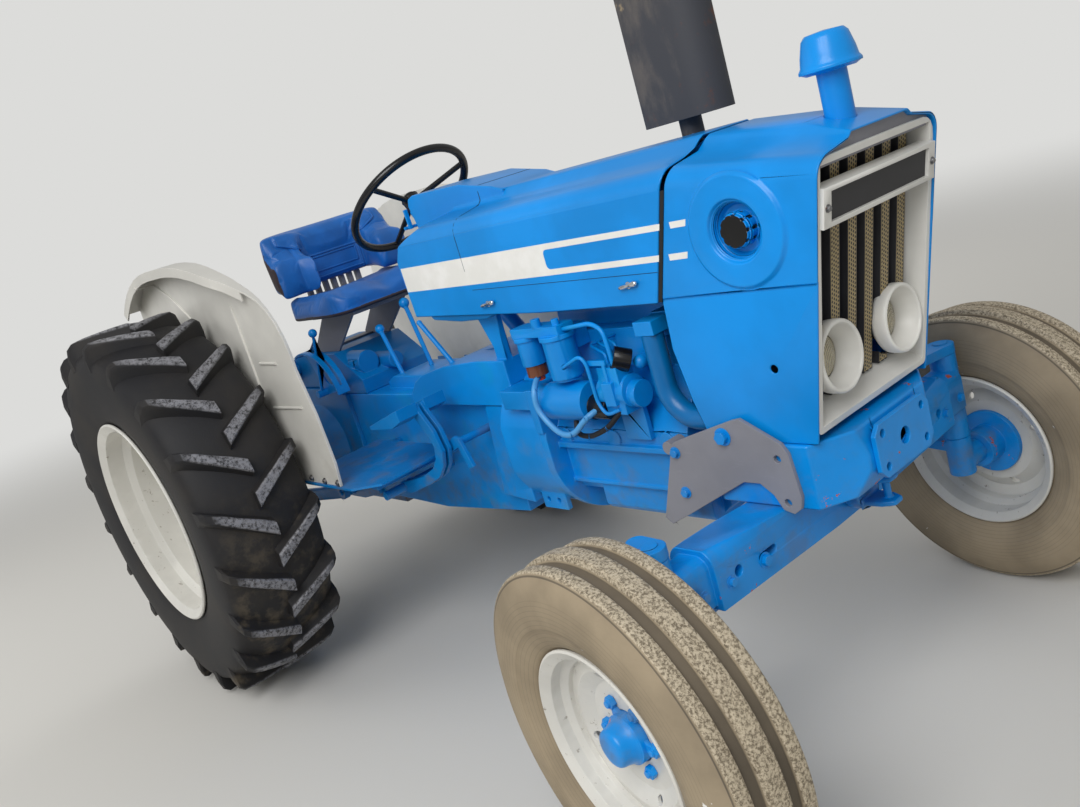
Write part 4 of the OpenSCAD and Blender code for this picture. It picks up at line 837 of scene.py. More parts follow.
def lug_mesh(side, rounding):
    """One bar of the tread, its section a trapezium with worn edges."""
    points, faces, edge = [], [], rounding / MM
    for outboard, behind, half, top, foot in LUG_STATIONS:
        flank = [(half + FOOT_FLARE, foot), (half + SHOULDER_FLARE, top - SHOULDER_DROP),
                 (half, top - edge), (half - edge, top)]
        section = flank + [(-across, radius) for across, radius in reversed(flank)]
        for across, radius in section:
            turn = (across - behind) / LUG_TOP
            points.append((radius * MM * math.sin(turn), radius * MM * math.cos(turn),
                           side * outboard * MM))
    wide = len(section)
    for i in range(len(LUG_STATIONS) - 1):
        for j in range(wide - 1):
            a = i * wide + j
            faces.append((a, a + 1, a + wide + 1, a + wide))
    last = (len(LUG_STATIONS) - 1) * wide
    faces.append(tuple(range(wide)))
    faces.append(tuple(last + j for j in range(wide)))
    mesh = bpy.data.meshes.new("lug")
    mesh.from_pydata(points, [], faces)
    tidy(mesh)
    smooth(mesh, 30)
    note_radius(mesh)
    return mesh


FRONT_SIDE = [(203, 58), (214, 68), (225, 73), (228, 80), (250, 91), (272, 97), (276, 100),
              (300, 102), (330, 100), (352, 95), (372, 86), (384, 81), (388, 79), (391, 75),
              (391, 53), (389, 50), (381, 47), (381, 46), (381, 26), (381, 25), (394, 20),
              (397, 18), (397, 0)]
# The star of a front hub: reach at a nut with an arm, at the other nuts, and between
STAR = (74, 60, 44)
STAR_T, STAR_ROUND = 11, 3
FRONT_DISC = 12
DUST_CAP = [(54, 22), (54, 30), (47, 36), (42, 52), (40, 66), (34, 71), (18, 73), (0, 73)]


def mirrored_profile(half):
    """A profile from one bead over the tread to the other."""
    return half + [(r, -z) for r, z in reversed(half[:-1])]


class TRACTOR_OT_tyres(bpy.types.Operator):
    """Make the lugged rear tyres and the ribbed front tyres"""
    bl_idname = "tractor.tyres"
    bl_label = "Tyres"

    def execute(self, context):
        sizes = context.scene.tractor_tyres
        for name, side in SIDES.items():
            place = wheel_place("rear_tyre_" + name, "rear_spin_" + name, side)
            case = revolved("case", eased(mirrored_profile(REAR_SIDE), 2, True), sizes.steps, True)
            smooth(case, 60)
            note_radius(case)
            bars = []
            pitch = 2 * math.pi / sizes.lugs
            nose = math.atan(LUG_STATIONS[0][2] / LUG_TOP)
            for half in (1, -1):
                bar = add_object("bar", lug_mesh(half, sizes.lug_bevel), "rear rubber")
                start = math.pi - nose + (pitch / 2 if half < 0 else 0)
                bars.append(mesh_of(repeated(bar, "rear rubber", sizes.lugs, turn=pitch,
                                             start=start)))
            tyre = joined("rear_tyre_" + name + "_rubber", [case, *bars], "rear rubber")
            moved(tyre.data, place)
            keep(tyre, "rear_wheel_" + name, ["rear_tyre_" + name])
            place = wheel_place("front_tyre_" + name, "front_spin_" + name, side)
            case = revolved("case", eased(mirrored_profile(FRONT_SIDE), 1, True), sizes.steps, True)
            smooth(case, 60)
            note_radius(case)
            tyre = add_object("front_tyre_" + name + "_rubber", moved(case, place), "front rubber")
            keep(tyre, "front_wheel_" + name, ["front_tyre_" + name])
        return {"FINISHED"}


class TRACTOR_OT_wheels(bpy.types.Operator):
    """Finish the rims and hubs"""
    bl_idname = "tractor.wheels"
    bl_label = "Wheels"

    def execute(self, context):
        for name in SIDES:
            softened("rear_rim_" + name, "wheel cream", 1.5, 28)
            softened("front_rim_" + name, "wheel cream", 1.2, 28)
            softened("front_hub_" + name, "axle blue", 2.0)
            reach = [STAR[0], STAR[2], STAR[1], STAR[2]] * 3
            outline = [(r * math.cos(math.radians(30 * i)), r * math.sin(math.radians(30 * i)))
                       for i, r in enumerate(reach)]
            star = sheet("star", eased(outline, 1, True), STAR_T, STAR_ROUND)
            star.transform(Matrix.Translation((0, 0, FRONT_DISC * MM)))
            cap = revolved("cap", eased(DUST_CAP), 48)
            for mesh in (star, cap):
                smooth(mesh, 40)
            place = wheel_place("front_tyre_" + name, "front_spin_" + name, SIDES[name])
            cover = joined("front_hub_" + name + "_star", [star, cap], "axle blue")
            moved(cover.data, place)
            keep(cover, "front_wheel_" + name)
        return {"FINISHED"}


# Panels

SEAM_LEAN = 0.36


def side_place(side, y):
    """From a drawing in X and Z, thickness outwards, to a side of the hood."""
    turn = Matrix(((1, 0, 0), (0, 0, 1), (0, side, 0))).transposed().to_4x4()
    return Matrix.Translation(at(0, side * y, 0)) @ turn


HOOD_SIDE = 228
NOSE_START = 2034


def band(x0, top0, foot0, x1, top1, foot1, lean=SEAM_LEAN):
    """Outline of a band from back to front, its front end leaning."""
    return [(x0, top0), (x0, foot0), (x1, foot1), (x1 + lean * (top1 - foot1), top1)]


# Where the broad band splits, and the round corners of the split
SPLIT, SPLIT_R = 1680, 12
NOTCH = [(SPLIT + SPLIT_R * (1 - math.cos(a)), z + SPLIT_R * way * (math.sin(a) - 1))
         for z, way, turns in ((1247, -1, (90, 60, 30, 0)), (1297, 1, (0, 30, 60, 90)))
         for a in map(math.radians, turns)]
BROAD = band(1020, 1315, 1242, SPLIT + SPLIT_R, 1312, 1232, 0)
BANDS = [BROAD[:3] + NOTCH + BROAD[3:],
         band(SPLIT + SPLIT_R + 0.1, 1312, 1297, 2082, 1309, 1295),
         band(SPLIT + SPLIT_R + 0.1, 1247, 1232, 2058, 1242, 1228),
         band(2110, 1309, 1295, 2152, 1309, 1295), band(2086, 1241, 1227, 2136, 1241, 1227)]
# How far bands, pressed lines and the seal's foot stand off the plane of the hood's side
BAND_OFF, PRESSED_OFF, SEAL_OFF = 0.05, 0.1, -3
DISH = (2278, 1268)
# The hand knob in the dish: how far its dark face reaches in and out, and its radius
KNOB_REACH, KNOB_R = (-26.5, 11), 34
LATCHES = [(1398, 1179), (1943, 1184)]
# The pressed line is a thin dark tube that paints the crease's shade: its two ends, and its radius
PRESSED_LINE, PRESSED_R = [(1345, 1222), (2040, 1205)], 0.7
# The rubber seal: how far behind the nose's edge, foot, rise, thickness and rounding
SEAL_BACK, SEAL_FOOT, SEAL_RISE, SEAL_T, SEAL_ROUND = 7, 1137, 240, 5, 1.2
# On a fender's wall, as seen from its tyre: ahead of the rear axle and height
FENDER_RIBS = [[(448, 1340), (442, 1022)], [(-204, 1475), (-60, 1405), (79, 1301)],
               [(509, 1139), (631, 1136)], [(490, 983), (703, 986)]]
FENDER_BOLTS = [(584, 735), (675, 731), (764, 731)]
FENDER_SIGHT, RIB_PITCH, RIB_R, RIB_LIFT, FENDER_BOLT_R = 620, 12, 5, 1, 8
# The line between the two hood panels is looked for at angles from straight up, from far
# outside towards the hood's middle
PANEL_SEAM, SEAM_TURNS, SEAM_MIDDLE, SEAM_SIGHT = 1336, range(-96, 97, 4), 1300, 700
SEAM_R, SEAM_LIFT = 1.3, -0.4


def fender_trim(name, side):
    """Ribs and bolts on a fender's wall, found by lines of sight from its tyre."""
    def sight(spot):
        return at(spot[0], side * FENDER_SIGHT, spot[1]), at(spot[0], 0, spot[1])

    skin = skin_tree(softened("fender_" + name, "fender cream", 1.5, 25))
    ribs = [mesh_of(bead("rib", skin, map(sight, dense(line, RIB_PITCH)), RIB_R, "fender cream",
                         RIB_LIFT)) for line in FENDER_RIBS]
    keep(joined("fender_ribs_" + name, ribs, "fender cream"), "chassis")
    spots = [on_skin(skin, *sight(spot)) for spot in FENDER_BOLTS]
    fastened("fender_bolts_" + name, "bolt steel", "chassis",
             [(local(spot), (0, side, 0), FENDER_BOLT_R) for spot in spots if spot])


def seal_outline(wide):
    """The seal between hood and nose, leaning as the nose's edge does."""
    middle, lean, top = NOSE_START - SEAL_BACK, SEAM_LEAN * SEAL_RISE, SEAL_FOOT + SEAL_RISE
    return [(middle - wide / 2, SEAL_FOOT), (middle + wide / 2, SEAL_FOOT),
            (middle + wide / 2 + lean, top), (middle - wide / 2 + lean, top)]


def latch_mesh():
    """A plated over-centre lever on a small round base."""
    base = revolved("base", eased([(0, 0), (9, 0), (9, 3), (6, 5), (0, 5)]), 24)
    lever = revolved("lever", eased([(0, -28), (4.5, -26), (5.5, -14), (4.2, 0), (6.5, 14),
                                     (7.5, 24), (5, 32), (0, 34)]), 20)
    lever.transform(Matrix.Translation((0, 0, 7 * MM)) @ Matrix.Rotation(math.radians(8), 4, "Z")
                    @ Matrix.Rotation(math.radians(90), 4, "Y"))
    mesh = merged("latch", [base, lever])
    smooth(mesh, 50)
    return mesh


class TRACTOR_OT_panels(bpy.types.Operator):
    """Finish the hood, nose, tank and fenders, with the bands, dish, seal and latches"""
    bl_idname = "tractor.panels"
    bl_label = "Panels"

    def execute(self, context):
        trim = context.scene.tractor_trim
        hood = softened("hood", "panel blue", 4.0, 40, 3)
        nose = softened("nose", "panel blue", 3.0, 40, 3)
        softened("fuel_tank", "hose blue", 4.0)
        for name, side in SIDES.items():
            fender_trim(name, side)
        sights = [(at(PANEL_SEAM, SEAM_SIGHT * math.sin(a), SEAM_MIDDLE + SEAM_SIGHT * math.cos(a)),
                   at(PANEL_SEAM, 0, SEAM_MIDDLE)) for a in map(math.radians, SEAM_TURNS)]
        keep(bead("hood_panel_gap", skin_tree(hood), sights, SEAM_R, "panel gap and crease shade", SEAM_LIFT),
             "chassis")
        bands, seals, latches = [], [], []
        for i, side in enumerate(SIDES.values(), 1):
            for outline in BANDS:
                bands.append(moved(sheet("band", outline, trim.band_t / MM),
                                   side_place(side, HOOD_SIDE + BAND_OFF)))
            # Painted shade: the pressed crease is drawn as a thin dark line.
            ends = [at(x, side * (HOOD_SIDE + PRESSED_OFF), z) for x, z in PRESSED_LINE]
            keep(tube("hood_crease_shade_" + str(i), ends, PRESSED_R, "panel gap and crease shade"),
                 "chassis")
            knob = [(DISH[0], side * (HOOD_SIDE + out), DISH[1]) for out in KNOB_REACH]
            tint(nose, "black plastic", within(knob, KNOB_R))
            seal = sheet("seal", seal_outline(trim.strip_w / MM), SEAL_T, SEAL_ROUND)
            seals.append(moved(seal, side_place(side, HOOD_SIDE + SEAL_OFF)))
            for x, z in LATCHES:
                latches.append(moved(latch_mesh(), side_place(side, HOOD_SIDE)
                                     @ Matrix.Translation((x * MM, z * MM, 0))))
        keep(joined("hood_bands", bands, "band white"), "chassis")
        keep(joined("nose_seals", seals, "black rubber"), "chassis")
        keep(joined("hood_latches", latches, "chrome"), "chassis")
        return {"FINISHED"}


# Grille and lamps

GRILLE_LEAN = math.radians(12.9)
GRILLE_FOOT = (2354, 0, 817)
COLUMNS = 6
COLUMN_SPAN = 195.7
COLUMN_FACE = -33.95
# A strip of mesh on a column, gold with painted sunlight on the column's front: its two ends up the
# grille, half its width and its thickness
STRIP_LOW, STRIP_HIGH, STRIP_HALF, STRIP_T = 52, 547, 15, 0.5
# Holes of the mesh, dark plates that paint the shade seen through them: outline, rows, distance
# between rows, height of the first above the strip's foot, what both ends together keep free,
# and how far they stand before the strip
HOLE = [(-3, 0), (0, -3.6), (3, 0), (0, 3.6)]
HOLE_ROWS, ROW_STEP, HOLE_FOOT, HOLE_ENDS, HOLE_OUT = 4, 7.4, 5, 8, 0.3
# The bare field of the badge bar: half its width, foot, top, thickness and face
BADGE_HALF, BADGE_LOW, BADGE_HIGH, BADGE_T, BADGE_FACE = 185.5, 446.2, 503.8, 0.6, 6.1
BADGE_BOLTS, BADGE_BOLT_R = [(14, -199, 475), (14, 199, 475)], 6
# The grey sheet over the columns: foot, thickness and face, and the line up the grille along
# which its upper edge is looked for on the nose, at steps across
BACKING_FOOT, BACKING_T, BACKING_FACE = 548, 1, -2.5
BACKING_SIGHT, BACKING_STEPS, BACKING_LIFT = [(-2, 550), (-2, 900)], range(-200, 201, 20), 0.5


def grille_place(ahead=0.0, across=0.0, up=0.0):
    """From the grille's own upright frame, shifted in millimetres, to its leaning place."""
    return (Matrix.Translation(at(*GRILLE_FOOT)) @ Matrix.Rotation(GRILLE_LEAN, 4, "Y")
            @ Matrix.Translation((ahead * MM, across * MM, up * MM)))


def on_grille(mesh, ahead=0.0, across=0.0, up=0.0):
    """A mesh drawn across and up, thickness towards the front, put on the leaning grille."""
    upright = Matrix(((0, 0, 1), (1, 0, 0), (0, 1, 0))).to_4x4()
    return moved(mesh, grille_place(ahead, across, up) @ upright)


LAMP_PLACE = (2382, 124, 962)
# The way that is kept free of holes for a lamp: behind its place, ahead of it, radius
LAMP_WAY = (150, 60, 82)
BEZEL_PROFILE = [(50, -44), (66, -6), (67, 3), (70, 7), (75, 6), (78, 1), (78, -24), (74, -30),
                 (54, -48), (50, -48)]
# The bucket is dark, the painted shade of the ring between lens and bezel.
BUCKET_PROFILE = [(53, -44), (53, -50), (46, -62), (32, -78), (12, -83), (0, -83)]
# The mirror behind the lens is pale diffuse colour, a painted reflection.
REFLECTOR_PROFILE = [(46, -49), (40, -60), (26, -73), (10, -78), (0, -79)]
LENS_PROFILE = [(0, -34), (16, -35), (32, -38), (46, -44), (47, -46), (45, -47), (32, -42),
                (16, -39), (0, -38)]
# A lamp's bore through the columns: distance from the middle, height up the grille, radii
LAMP_BORE = (124, 141, 79, 81)


def strip_outlines(middle):
    """A column's strip of mesh above a lamp's bore and under it."""
    side, centre, wide, tall = LAMP_BORE
    across = [middle + STRIP_HALF * (i / 4 - 1) for i in range(9)]
    reach = [tall * math.sqrt(max(0.0, 1 - ((abs(y) - side) / wide) ** 2)) for y in across]
    upper = [(y, centre + r) for y, r in zip(across, reach)]
    lower = [(y, centre - r) for y, r in zip(across, reach)]
    return [upper + [(across[-1], STRIP_HIGH), (across[0], STRIP_HIGH)],
            [(across[0], STRIP_LOW), (across[-1], STRIP_LOW)] + lower[::-1]]


def column_holes(middle, pitch):
    """The rows of holes in one column's mesh, dark plates painted as the shade seen through them,
    every other row half a pitch higher.
    """
    rows = []
    for j in range(HOLE_ROWS):
        row = add_object("row", sheet("hole", HOLE, STRIP_T), "grille dark and painted shade")
        count = int((STRIP_HIGH - STRIP_LOW - HOLE_ENDS) * MM / pitch)
        repeated(row, "grille dark and painted shade", count, step=(0, pitch, 0))
        rows.append(on_grille(mesh_of(row), COLUMN_FACE + HOLE_OUT,
                              middle + ROW_STEP * (j - (HOLE_ROWS - 1) / 2),
                              STRIP_LOW + HOLE_FOOT + pitch / MM / 2 * (j % 2)))
    return rows


def backing_outline(skin):
    """The sheet over the columns, its upper edge where it meets the nose."""
    lip = []
    for y in BACKING_STEPS:
        start, end = (grille_place(x, y, z).translation for x, z in BACKING_SIGHT)
        hit = on_skin(skin, start, end, BACKING_LIFT)
        if hit:
            hit = grille_place().inverted() @ hit
            lip.append((hit.y / MM, hit.z / MM))
    return [(lip[-1][0], BACKING_FOOT), (lip[0][0], BACKING_FOOT)] + lip


class TRACTOR_OT_grille(bpy.types.Operator):
    """Finish the grille surround and columns, with their mesh, the bare badge bar and the lamps"""
    bl_idname = "tractor.grille"
    bl_label = "Grille and lamps"

    def execute(self, context):
        trim = context.scene.tractor_trim
        softened("grille_frame", "trim white", 1.2, whole_faces=False)
        # Painted shade: the columns are dark all over for their shaded sides, and the gold strips
        # on their fronts paint the same mesh sunlit.
        softened("grille_columns", "grille dark and painted shade", 0.0)
        plates, holes = [], []
        for i in range(COLUMNS):
            middle = COLUMN_SPAN * ((2 * i + 1) / COLUMNS - 1)
            plates += [on_grille(sheet("plate", outline, STRIP_T), COLUMN_FACE)
                       for outline in strip_outlines(middle)]
            holes += column_holes(middle, trim.hole_pitch)
        keep(joined("grille_mesh", plates, "mesh gold and painted sunlight"), "chassis")
        # The holes are dark plates, the painted shade seen through the mesh.
        holes = joined("grille_hole_shade", holes, "grille dark and painted shade")
        x, y, z = LAMP_PLACE
        behind, ahead, radius = LAMP_WAY
        without(holes, [within([(x - behind, side * y, z), (x + ahead, side * y, z)], radius)
                        for side in SIDES.values()])
        keep(holes, "chassis")
        bare = sheet("bare", [(-BADGE_HALF, BADGE_LOW), (BADGE_HALF, BADGE_LOW),
                              (BADGE_HALF, BADGE_HIGH), (-BADGE_HALF, BADGE_HIGH)], BADGE_T)
        keep(add_object("badge_field", on_grille(bare, BADGE_FACE), "grille dark and painted shade"),
             "chassis")
        outline = backing_outline(skin_tree(bpy.data.objects["nose_dressed"]))
        backing = on_grille(sheet("backing", outline, BACKING_T), BACKING_FACE)
        keep(add_object("grille_backing", backing, "bracket grey"), "chassis")
        ends = [on_grille(bolt_mesh(BADGE_BOLT_R), *place) for place in BADGE_BOLTS]
        keep(joined("badge_bolts", ends, "bolt steel"), "chassis")
        # Painted shade: the dark buckets show as the recess's shade round each lens.
        lamps = {"lamp_bezels": (BEZEL_PROFILE, "trim white", True),
                 "lamp_bucket_shade": (BUCKET_PROFILE, "grille dark and painted shade", False),
                 "lamp_reflectors": (REFLECTOR_PROFILE, "reflector painted reflection", False),
                 "lamp_lenses": (LENS_PROFILE, "lamp glass", False)}
        for name, (profile, finish, closed) in lamps.items():
            pair = []
            for side in SIDES.values():
                mesh = revolved(name, eased(profile, 1, closed), 64, closed)
                smooth(mesh, 45)
                pair.append(moved(mesh, Matrix.Translation(at(x, side * y, z))
                                  @ Matrix.Rotation(math.radians(90), 4, "Y")))
            made = joined(name, pair, finish)
            keep(made, "chassis", ["headlamps"] if name == "lamp_bezels" else [])
        return {"FINISHED"}


# Castings, steering, linkage and the rest of the solids

# Rounding in millimetres of the solids that take each finish
SOLIDS = {
    "cast blue": {"engine": 3.0, "gearbox": 4.0, "engine_fittings": 1.5, "drop_arm": 1.5},
    "rear blue": {"rear_axle": 4.0, "hydraulics": 4.0, "drawbar": 2.0, "footplates": 1.5,
                  "lift_arms": 2.0, "lift_rod_right": 1.5, "lift_rod_left": 1.5,
                  "lower_link_right": 2.0, "lower_link_left": 2.0},
    "axle blue": {"front_casting": 6.0, "front_plate": 2.0, "front_axle": 3.0, "tie_rod": 1.5,
                  "drag_link": 1.5, "knuckle_right": 2.0, "knuckle_left": 2.0},
    "panel blue": {"quadrant": 1.0, "pre_cleaner": 1.5, "steering_column": 1.0},
    "bracket grey": {"side_brackets": 1.2, "seat_support": 1.5},
    "radiator black": {"radiator": 1.0},
    "hose blue": {"water_hose": 0.0},
    "silencer steel": {"exhaust": 1.0},
    "black plastic": {"steering_wheel": 1.5},
}
# Solids whose thin pipes have ten flats, shaded as round up to this angle
EDGE_ANGLES = {"engine_fittings": 40}
# What isn't body blue on the engine's right side: finish, radius, points along its middle
FITTING_TINTS = [
    ("sediment", 31, [(1528, -232, 971), (1528, -232, 1005)]),
    ("orange ring", 18, [(1528, -232, 955), (1528, -232, 973)]),
    ("black plastic", 34, [(1713, -228, 882), (1779, -228, 882)]),
    ("black plastic", 30, [(1859, -201, 993), (1827, -237, 1017)]),
]
# Cables and pipes that take the place of the solid's ten-sided ones: finish, radius, points
PIPES = [
    # The first cable's paler blue is blue paint with a painted highlight.
    ("cable blue with painted highlight", 8, [(1520, -215, 985), (1562, -291, 948), (1555, -291, 896), (1592, -291, 850),
                       (1628, -291, 826), (1674, -291, 828), (1732, -283, 874), (1745, -245, 884)]),
    ("black rubber", 7, [(1640, -240, 860), (1656, -266, 818), (1710, -268, 814),
                         (1776, -262, 838), (1822, -244, 880)]),
    ("cast blue", 6, [(1680, -240, 1095), (1796, -244, 1106), (1834, -246, 1088),
                      (1838, -246, 1040), (1832, -238, 960)]),
    ("cast blue", 5, [(1670, -262, 1000), (1748, -266, 1030), (1762, -262, 1010),
                      (1760, -258, 905), (1786, -262, 872), (1824, -250, 884)]),
]
# One pipe from the pump to each cylinder, each next to the last
PIPES += [("cast blue", 4, [(1788 + 22 * i, -216, 990), (1788 + 22 * i, -216, 1018 + 13 * i),
                            (1700 + 32 * i, -180, 1030 + 8 * i),
                            (1700 + 32 * i, -146.3, 1030 + 8 * i)]) for i in range(3)]
# How far round a pipe the solid's faces are taken away, and where its bends start, in radii
PIPE_WAY, PIPE_BEND = 1.6, 3.5
# Bolts on each side bracket: ahead of the rear axle, height, radius
BRACKET_BOLTS = [(1968, 776, 11), (1969, 673, 11), (2125, 823, 16)]
# Bolts on the front axle's face: distance from the middle, height, radius
AXLE_BOLTS = [(347, 587, 13), (460, 595, 10), (545, 606, 10)]
AXLE_FACE = 2247


class TRACTOR_OT_solids(bpy.types.Operator):
    """Round and paint the castings, bars and pipes, and bolt the brackets and the axle"""
    bl_idname = "tractor.solids"
    bl_label = "Castings and bars"

    def execute(self, context):
        for finish, solids in SOLIDS.items():
            for name, width in solids.items():
                softened(name, finish, width, EDGE_ANGLES.get(name, 30))
        fittings = bpy.data.objects["engine_fittings_dressed"]
        for finish, radius, points in FITTING_TINTS:
            tint(fittings, finish, within(points, radius))
        without(fittings, [within(points, radius + PIPE_WAY) for _, radius, points in PIPES])
        for i, (finish, radius, points) in enumerate(PIPES, 1):
            path = [at(*point) for point in bent(points, PIPE_BEND * radius)]
            keep(tube("engine_pipe_" + str(i), path, radius, finish, 3), "chassis")
        low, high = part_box("side_brackets")
        bolts = []
        for side, face in ((-1, low.y / MM), (1, high.y / MM)):
            bolts += [((x, face, z), (0, side, 0), radius) for x, z, radius in BRACKET_BOLTS]
            bolts += [((AXLE_FACE, side * y, z), (1, 0, 0), radius) for y, z, radius in AXLE_BOLTS]
        fastened("front_bolts", "axle blue", "chassis", bolts)
        return {"FINISHED"}


# Seat: half the raised panel's width, where its top widens, and the lines of piping on the
# right half, as distance from the middle and height
PANEL_HALF = 118
WIDENS = (1437, 1475, 205)
PIPED = [[(-118, 1310), (-118, 1437), (-205, 1475), (-205, 1494)],
         [(118, 1310), (118, 1437), (205, 1475), (205, 1494)],
         [(-118, 1318), (118, 1318)], [(-118, 1403), (118, 1403)],
         [(-104, 1341), (-104, 1393), (104, 1393), (104, 1341), (-104, 1341)]]
# Where the piping's lines of sight start, how close they lie, its radius and how proud it is
PIPED_SIGHT, PIPED_PITCH, PIPED_R, PIPED_LIFT = 420, 6, 3.4, 1.4


def cushion_form(co):
    """The cushion dished at the back, with two thighs' lobes and a rolled front."""
    x, y, z = local(co)
    front = ramp(x, 320, 500)
    rise = 9 * math.exp(-((abs(y) - 112) / 62) ** 2) * front
    rise -= 14 * math.exp(-(y / 40) ** 2) * front
    rise -= 15 * math.exp(-((x - 275) / 115) ** 2 - (y / 165) ** 2)
    rise += 7 * ramp(abs(y), 160, 212) - 20 * ramp(x, 485, 552)
    return at(x, y, z + rise * ramp(z, 1206, 1250))


def backrest_form(co):
    """The middle panel stands a little proud, and the right bolster is worn back and low."""
    x, y, z = local(co)
    x -= 0.6 * max(0.0, x - 200) * ramp(-y, 110, 170)
    low, high, wide = WIDENS
    half = PANEL_HALF + (wide - PANEL_HALF) * ramp(z, low, high)
    return at(x + 7 * ramp(abs(y), half + 7, half - 6) * ramp(x, 150, 186), y, z)


def near_piping(co):
    """Whether a place on the backrest's face is beside a line of piping."""
    x, y, z = local(co)
    if x < 165:
        return False
    spot = Vector((y, z))
    for line in PIPED:
        for a, b in zip(line, line[1:]):
            nearest, share = intersect_point_line(spot, Vector(a), Vector(b))
            if -0.03 < share < 1.03 and (Vector(nearest[:2]) - spot).length < 5:
                return True
    return False


# Node, passes that rub its corners round, its form, what is held, furthest a point may swell
PADS = {
    "seat_cushion": (60, cushion_form, lambda co: local(co)[2] < 1202, 9),
    "seat_backrest": (90, backrest_form,
                      lambda co: local(co)[0] < 122 or near_piping(co), 8),
}
TRIMMED = {"seat_cushion": lambda co: local(co)[2] < 1205,
           "seat_backrest": lambda co: abs(local(co)[1]) > 256}


def blow_up(pad, held, limit):
    """Cloth under pressure for twenty frames, no point of it moved past the limit."""
    scene = bpy.context.scene
    rest = [vertex.co.copy() for vertex in pad.data.vertices]
    pins = pad.vertex_groups.new(name="held")
    pins.add([i for i, co in enumerate(rest) if held(co)], 1.0, "REPLACE")
    cloth = pad.modifiers.new("cloth", "CLOTH")
    cloth.settings.vertex_group_mass = "held"
    cloth.settings.use_pressure = True
    cloth.settings.uniform_pressure_force = 4
    cloth.settings.effector_weights.gravity = 0
    cloth.point_cache.frame_end = 20
    for step in range(1, 21):
        scene.frame_set(step)
    settle(pad)
    scene.frame_set(1)
    for vertex, start in zip(pad.data.vertices, rest):
        move = vertex.co - start
        if move.length > limit * MM:
            vertex.co = start + move.normalized() * limit * MM


class TRACTOR_OT_seat(bpy.types.Operator):
    """Make the padded cushion and backrest, their trim and the piping"""
    bl_idname = "tractor.seat"
    bl_label = "Seat"

    def execute(self, context):
        for name, (passes, form, held, limit) in PADS.items():
            mesh = NODES[name].data.copy()
            tidy(mesh, 0.03 * MM)
            pad = add_object(name + "_padding", mesh, "seat vinyl")
            skin = pad.modifiers.new("even skin", "REMESH")
            skin.mode = "VOXEL"
            skin.voxel_size = 5 * MM
            rub = pad.modifiers.new("rubbed", "SMOOTH")
            rub.factor = 0.5
            rub.iterations = passes
            settle(pad)
            for vertex in pad.data.vertices:
                vertex.co = form(vertex.co)
            blow_up(pad, held, limit)
            finer = pad.modifiers.new("finer", "SUBSURF")
            finer.levels = finer.render_levels = 1
            settle(pad)
            pad.data.shade_smooth()
            pad.data.materials.clear()
            pad.data.materials.append(FINISHES["seat vinyl"])
            tint(pad, "seat trim", TRIMMED[name])
            keep(pad, BODY_OF[name], [name])
        skin, cords = skin_tree(pad), []
        for line in PIPED:
            sights = [(at(PIPED_SIGHT, y, z), at(0, y, z)) for y, z in dense(line, PIPED_PITCH)]
            cords.append(mesh_of(bead("piping", skin, sights, PIPED_R, "seat vinyl", PIPED_LIFT)))
        keep(joined("backrest_piping", cords, "seat vinyl"), "chassis")
        return {"FINISHED"}


# Studio

BACKDROP = linear("#dcdcda")


class TRACTOR_OT_studio(bpy.types.Operator):
    """Set the floor, lamps, sky and camera"""
    bl_idname = "tractor.studio"
    bl_label = "Studio"

    def execute(self, context):
        studio = context.scene.tractor_studio
        make_floor()
        make_sky(studio.sky)
        make_lamp("key lamp", at(3600, -3600, 4300), at(1300, 0, 900), 3.2, studio.key)
        make_lamp("fill lamp", at(-2600, -3600, 2600), at(600, 0, 800), 3.0, studio.fill)
        make_lamp("back lamp", at(-1500, 3800, 3600), at(1200, 0, 900), 3.0, studio.fill)
        data = bpy.data.cameras.new("camera")
        data.lens = studio.lens
        data.sensor_fit = "HORIZONTAL"
        data.clip_end = 200
        camera = bpy.data.objects.new("camera", data)
        context.scene.collection.objects.link(camera)
        ahead = Vector((math.cos(studio.pitch) * math.cos(studio.yaw),
                        math.cos(studio.pitch) * math.sin(studio.yaw), math.sin(studio.pitch)))
        level = ahead.cross(Vector((0, 0, 1))).normalized()
        above = level.cross(ahead)
        right = level * math.cos(studio.roll) + above * math.sin(studio.roll)
        up = above * math.cos(studio.roll) - level * math.sin(studio.roll)
        turn = Matrix((right, up, -ahead)).transposed().to_4x4()
        x, y, z = studio.place
        camera.matrix_world = Matrix.Translation(at(x / MM, y / MM, z / MM)) @ turn
        context.scene.camera = camera
        return {"FINISHED"}


def make_lamp(name, place, target, size, power):
    data = bpy.data.lights.new(name, "AREA")
    data.shape = "SQUARE"
    data.size = size
    data.energy = power
    lamp = bpy.data.objects.new(name, data)
    bpy.context.scene.collection.objects.link(lamp)
    lamp.location = place
    lamp.rotation_euler = (target - place).to_track_quat("-Z", "Y").to_euler()
    lamp.visible_glossy = name == "key lamp"


def seen_background(tree):
    """1 for the rays that see the backdrop, straight or through glass."""
    path = node(tree, "ShaderNodeLightPath").outputs
    return calc(tree, "MAXIMUM", path["Is Camera Ray"], path["Is Transmission Ray"])


def make_sky(strength):
    world = bpy.data.worlds.new("sky")
    world.use_nodes = True
    bpy.context.scene.world = world
    tree = world.node_tree
    glow = tree.nodes["Background"]
    glow.inputs["Color"].default_value = (*BACKDROP, 1)
    tree.links.new(ratio(tree, seen_background(tree), strength, 1.0), glow.inputs["Strength"])


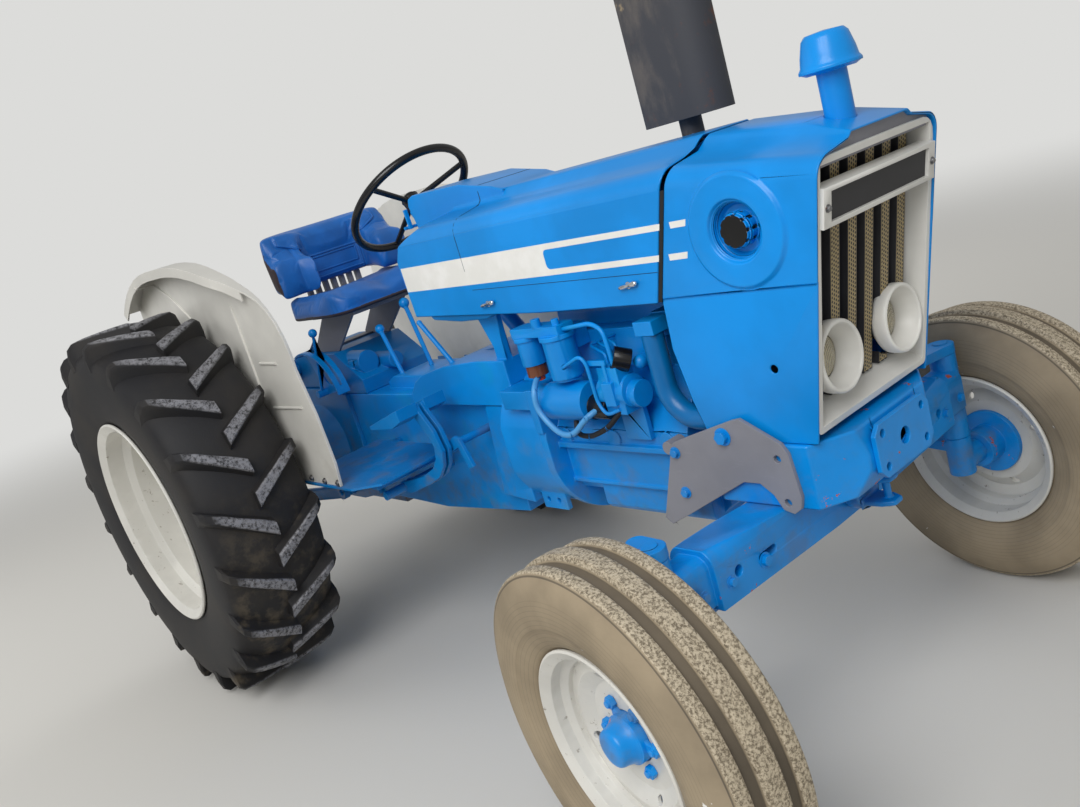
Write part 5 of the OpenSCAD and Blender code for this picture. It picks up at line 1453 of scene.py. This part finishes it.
def make_floor():
    """A wide pale disc that melts into the backdrop with distance."""
    shape = bmesh.new()
    bmesh.ops.create_circle(shape, cap_ends=True, segments=96, radius=40)
    mesh = bpy.data.meshes.new("floor")
    shape.to_mesh(mesh)
    shape.free()
    material, tree, shader, place = blank("floor", 0.9)
    shader.inputs["Base Color"].default_value = (*linear("#cfcdc8"), 1)
    away = node(tree, "ShaderNodeVectorMath", {0: place}, operation="LENGTH").outputs["Value"]
    fade = times(tree, levels(tree, away, 3.0, 11.0), seen_background(tree))
    glow = node(tree, "ShaderNodeEmission", {"Color": (*BACKDROP, 1), "Strength": 1.0})
    mixed = node(tree, "ShaderNodeMixShader", {0: fade, 1: shader.outputs[0], 2: glow.outputs[0]})
    tree.links.new(mixed.outputs[0], tree.nodes["Material Output"].inputs["Surface"])
    mesh.materials.append(material)
    floor = bpy.data.objects.new("floor", mesh)
    bpy.context.scene.collection.objects.link(floor)


class TRACTOR_PT_dressing(bpy.types.Panel):
    """Settings and steps of the tractor's dressing"""
    bl_idname = "TRACTOR_PT_dressing"
    bl_label = "Farm Tractor"
    bl_space_type = "VIEW_3D"
    bl_region_type = "UI"
    bl_category = "Tractor"

    def draw(self, context):
        scene = context.scene
        for settings in (scene.tractor_paint, scene.tractor_tyres, scene.tractor_trim,
                         scene.tractor_studio):
            for key in settings.__annotations__:
                self.layout.prop(settings, key)
        for step in STEPS:
            self.layout.operator(step.bl_idname)


STEPS = (TRACTOR_OT_studio, TRACTOR_OT_tyres, TRACTOR_OT_wheels, TRACTOR_OT_panels,
         TRACTOR_OT_grille, TRACTOR_OT_solids, TRACTOR_OT_seat)
GROUPS = {"tractor_paint": TractorPaint, "tractor_tyres": TractorTyres,
          "tractor_trim": TractorTrim, "tractor_studio": TractorStudio}


def register():
    for group in (*GROUPS.values(), *STEPS, TRACTOR_PT_dressing):
        bpy.utils.register_class(group)
    for name, group in GROUPS.items():
        setattr(bpy.types.Scene, name, PointerProperty(type=group))


def unregister():
    for name in GROUPS:
        delattr(bpy.types.Scene, name)
    for group in (TRACTOR_PT_dressing, *reversed(STEPS), *reversed(tuple(GROUPS.values()))):
        bpy.utils.unregister_class(group)


def main():
    register()
    bpy.context.scene.view_settings.view_transform = "Standard"
    make_finishes()
    bpy.ops.tractor.studio()
    bpy.ops.tractor.tyres()
    bpy.ops.tractor.wheels()
    bpy.ops.tractor.panels()
    bpy.ops.tractor.grille()
    bpy.ops.tractor.solids()
    bpy.ops.tractor.seat()


if __name__ == "__main__":
    main()
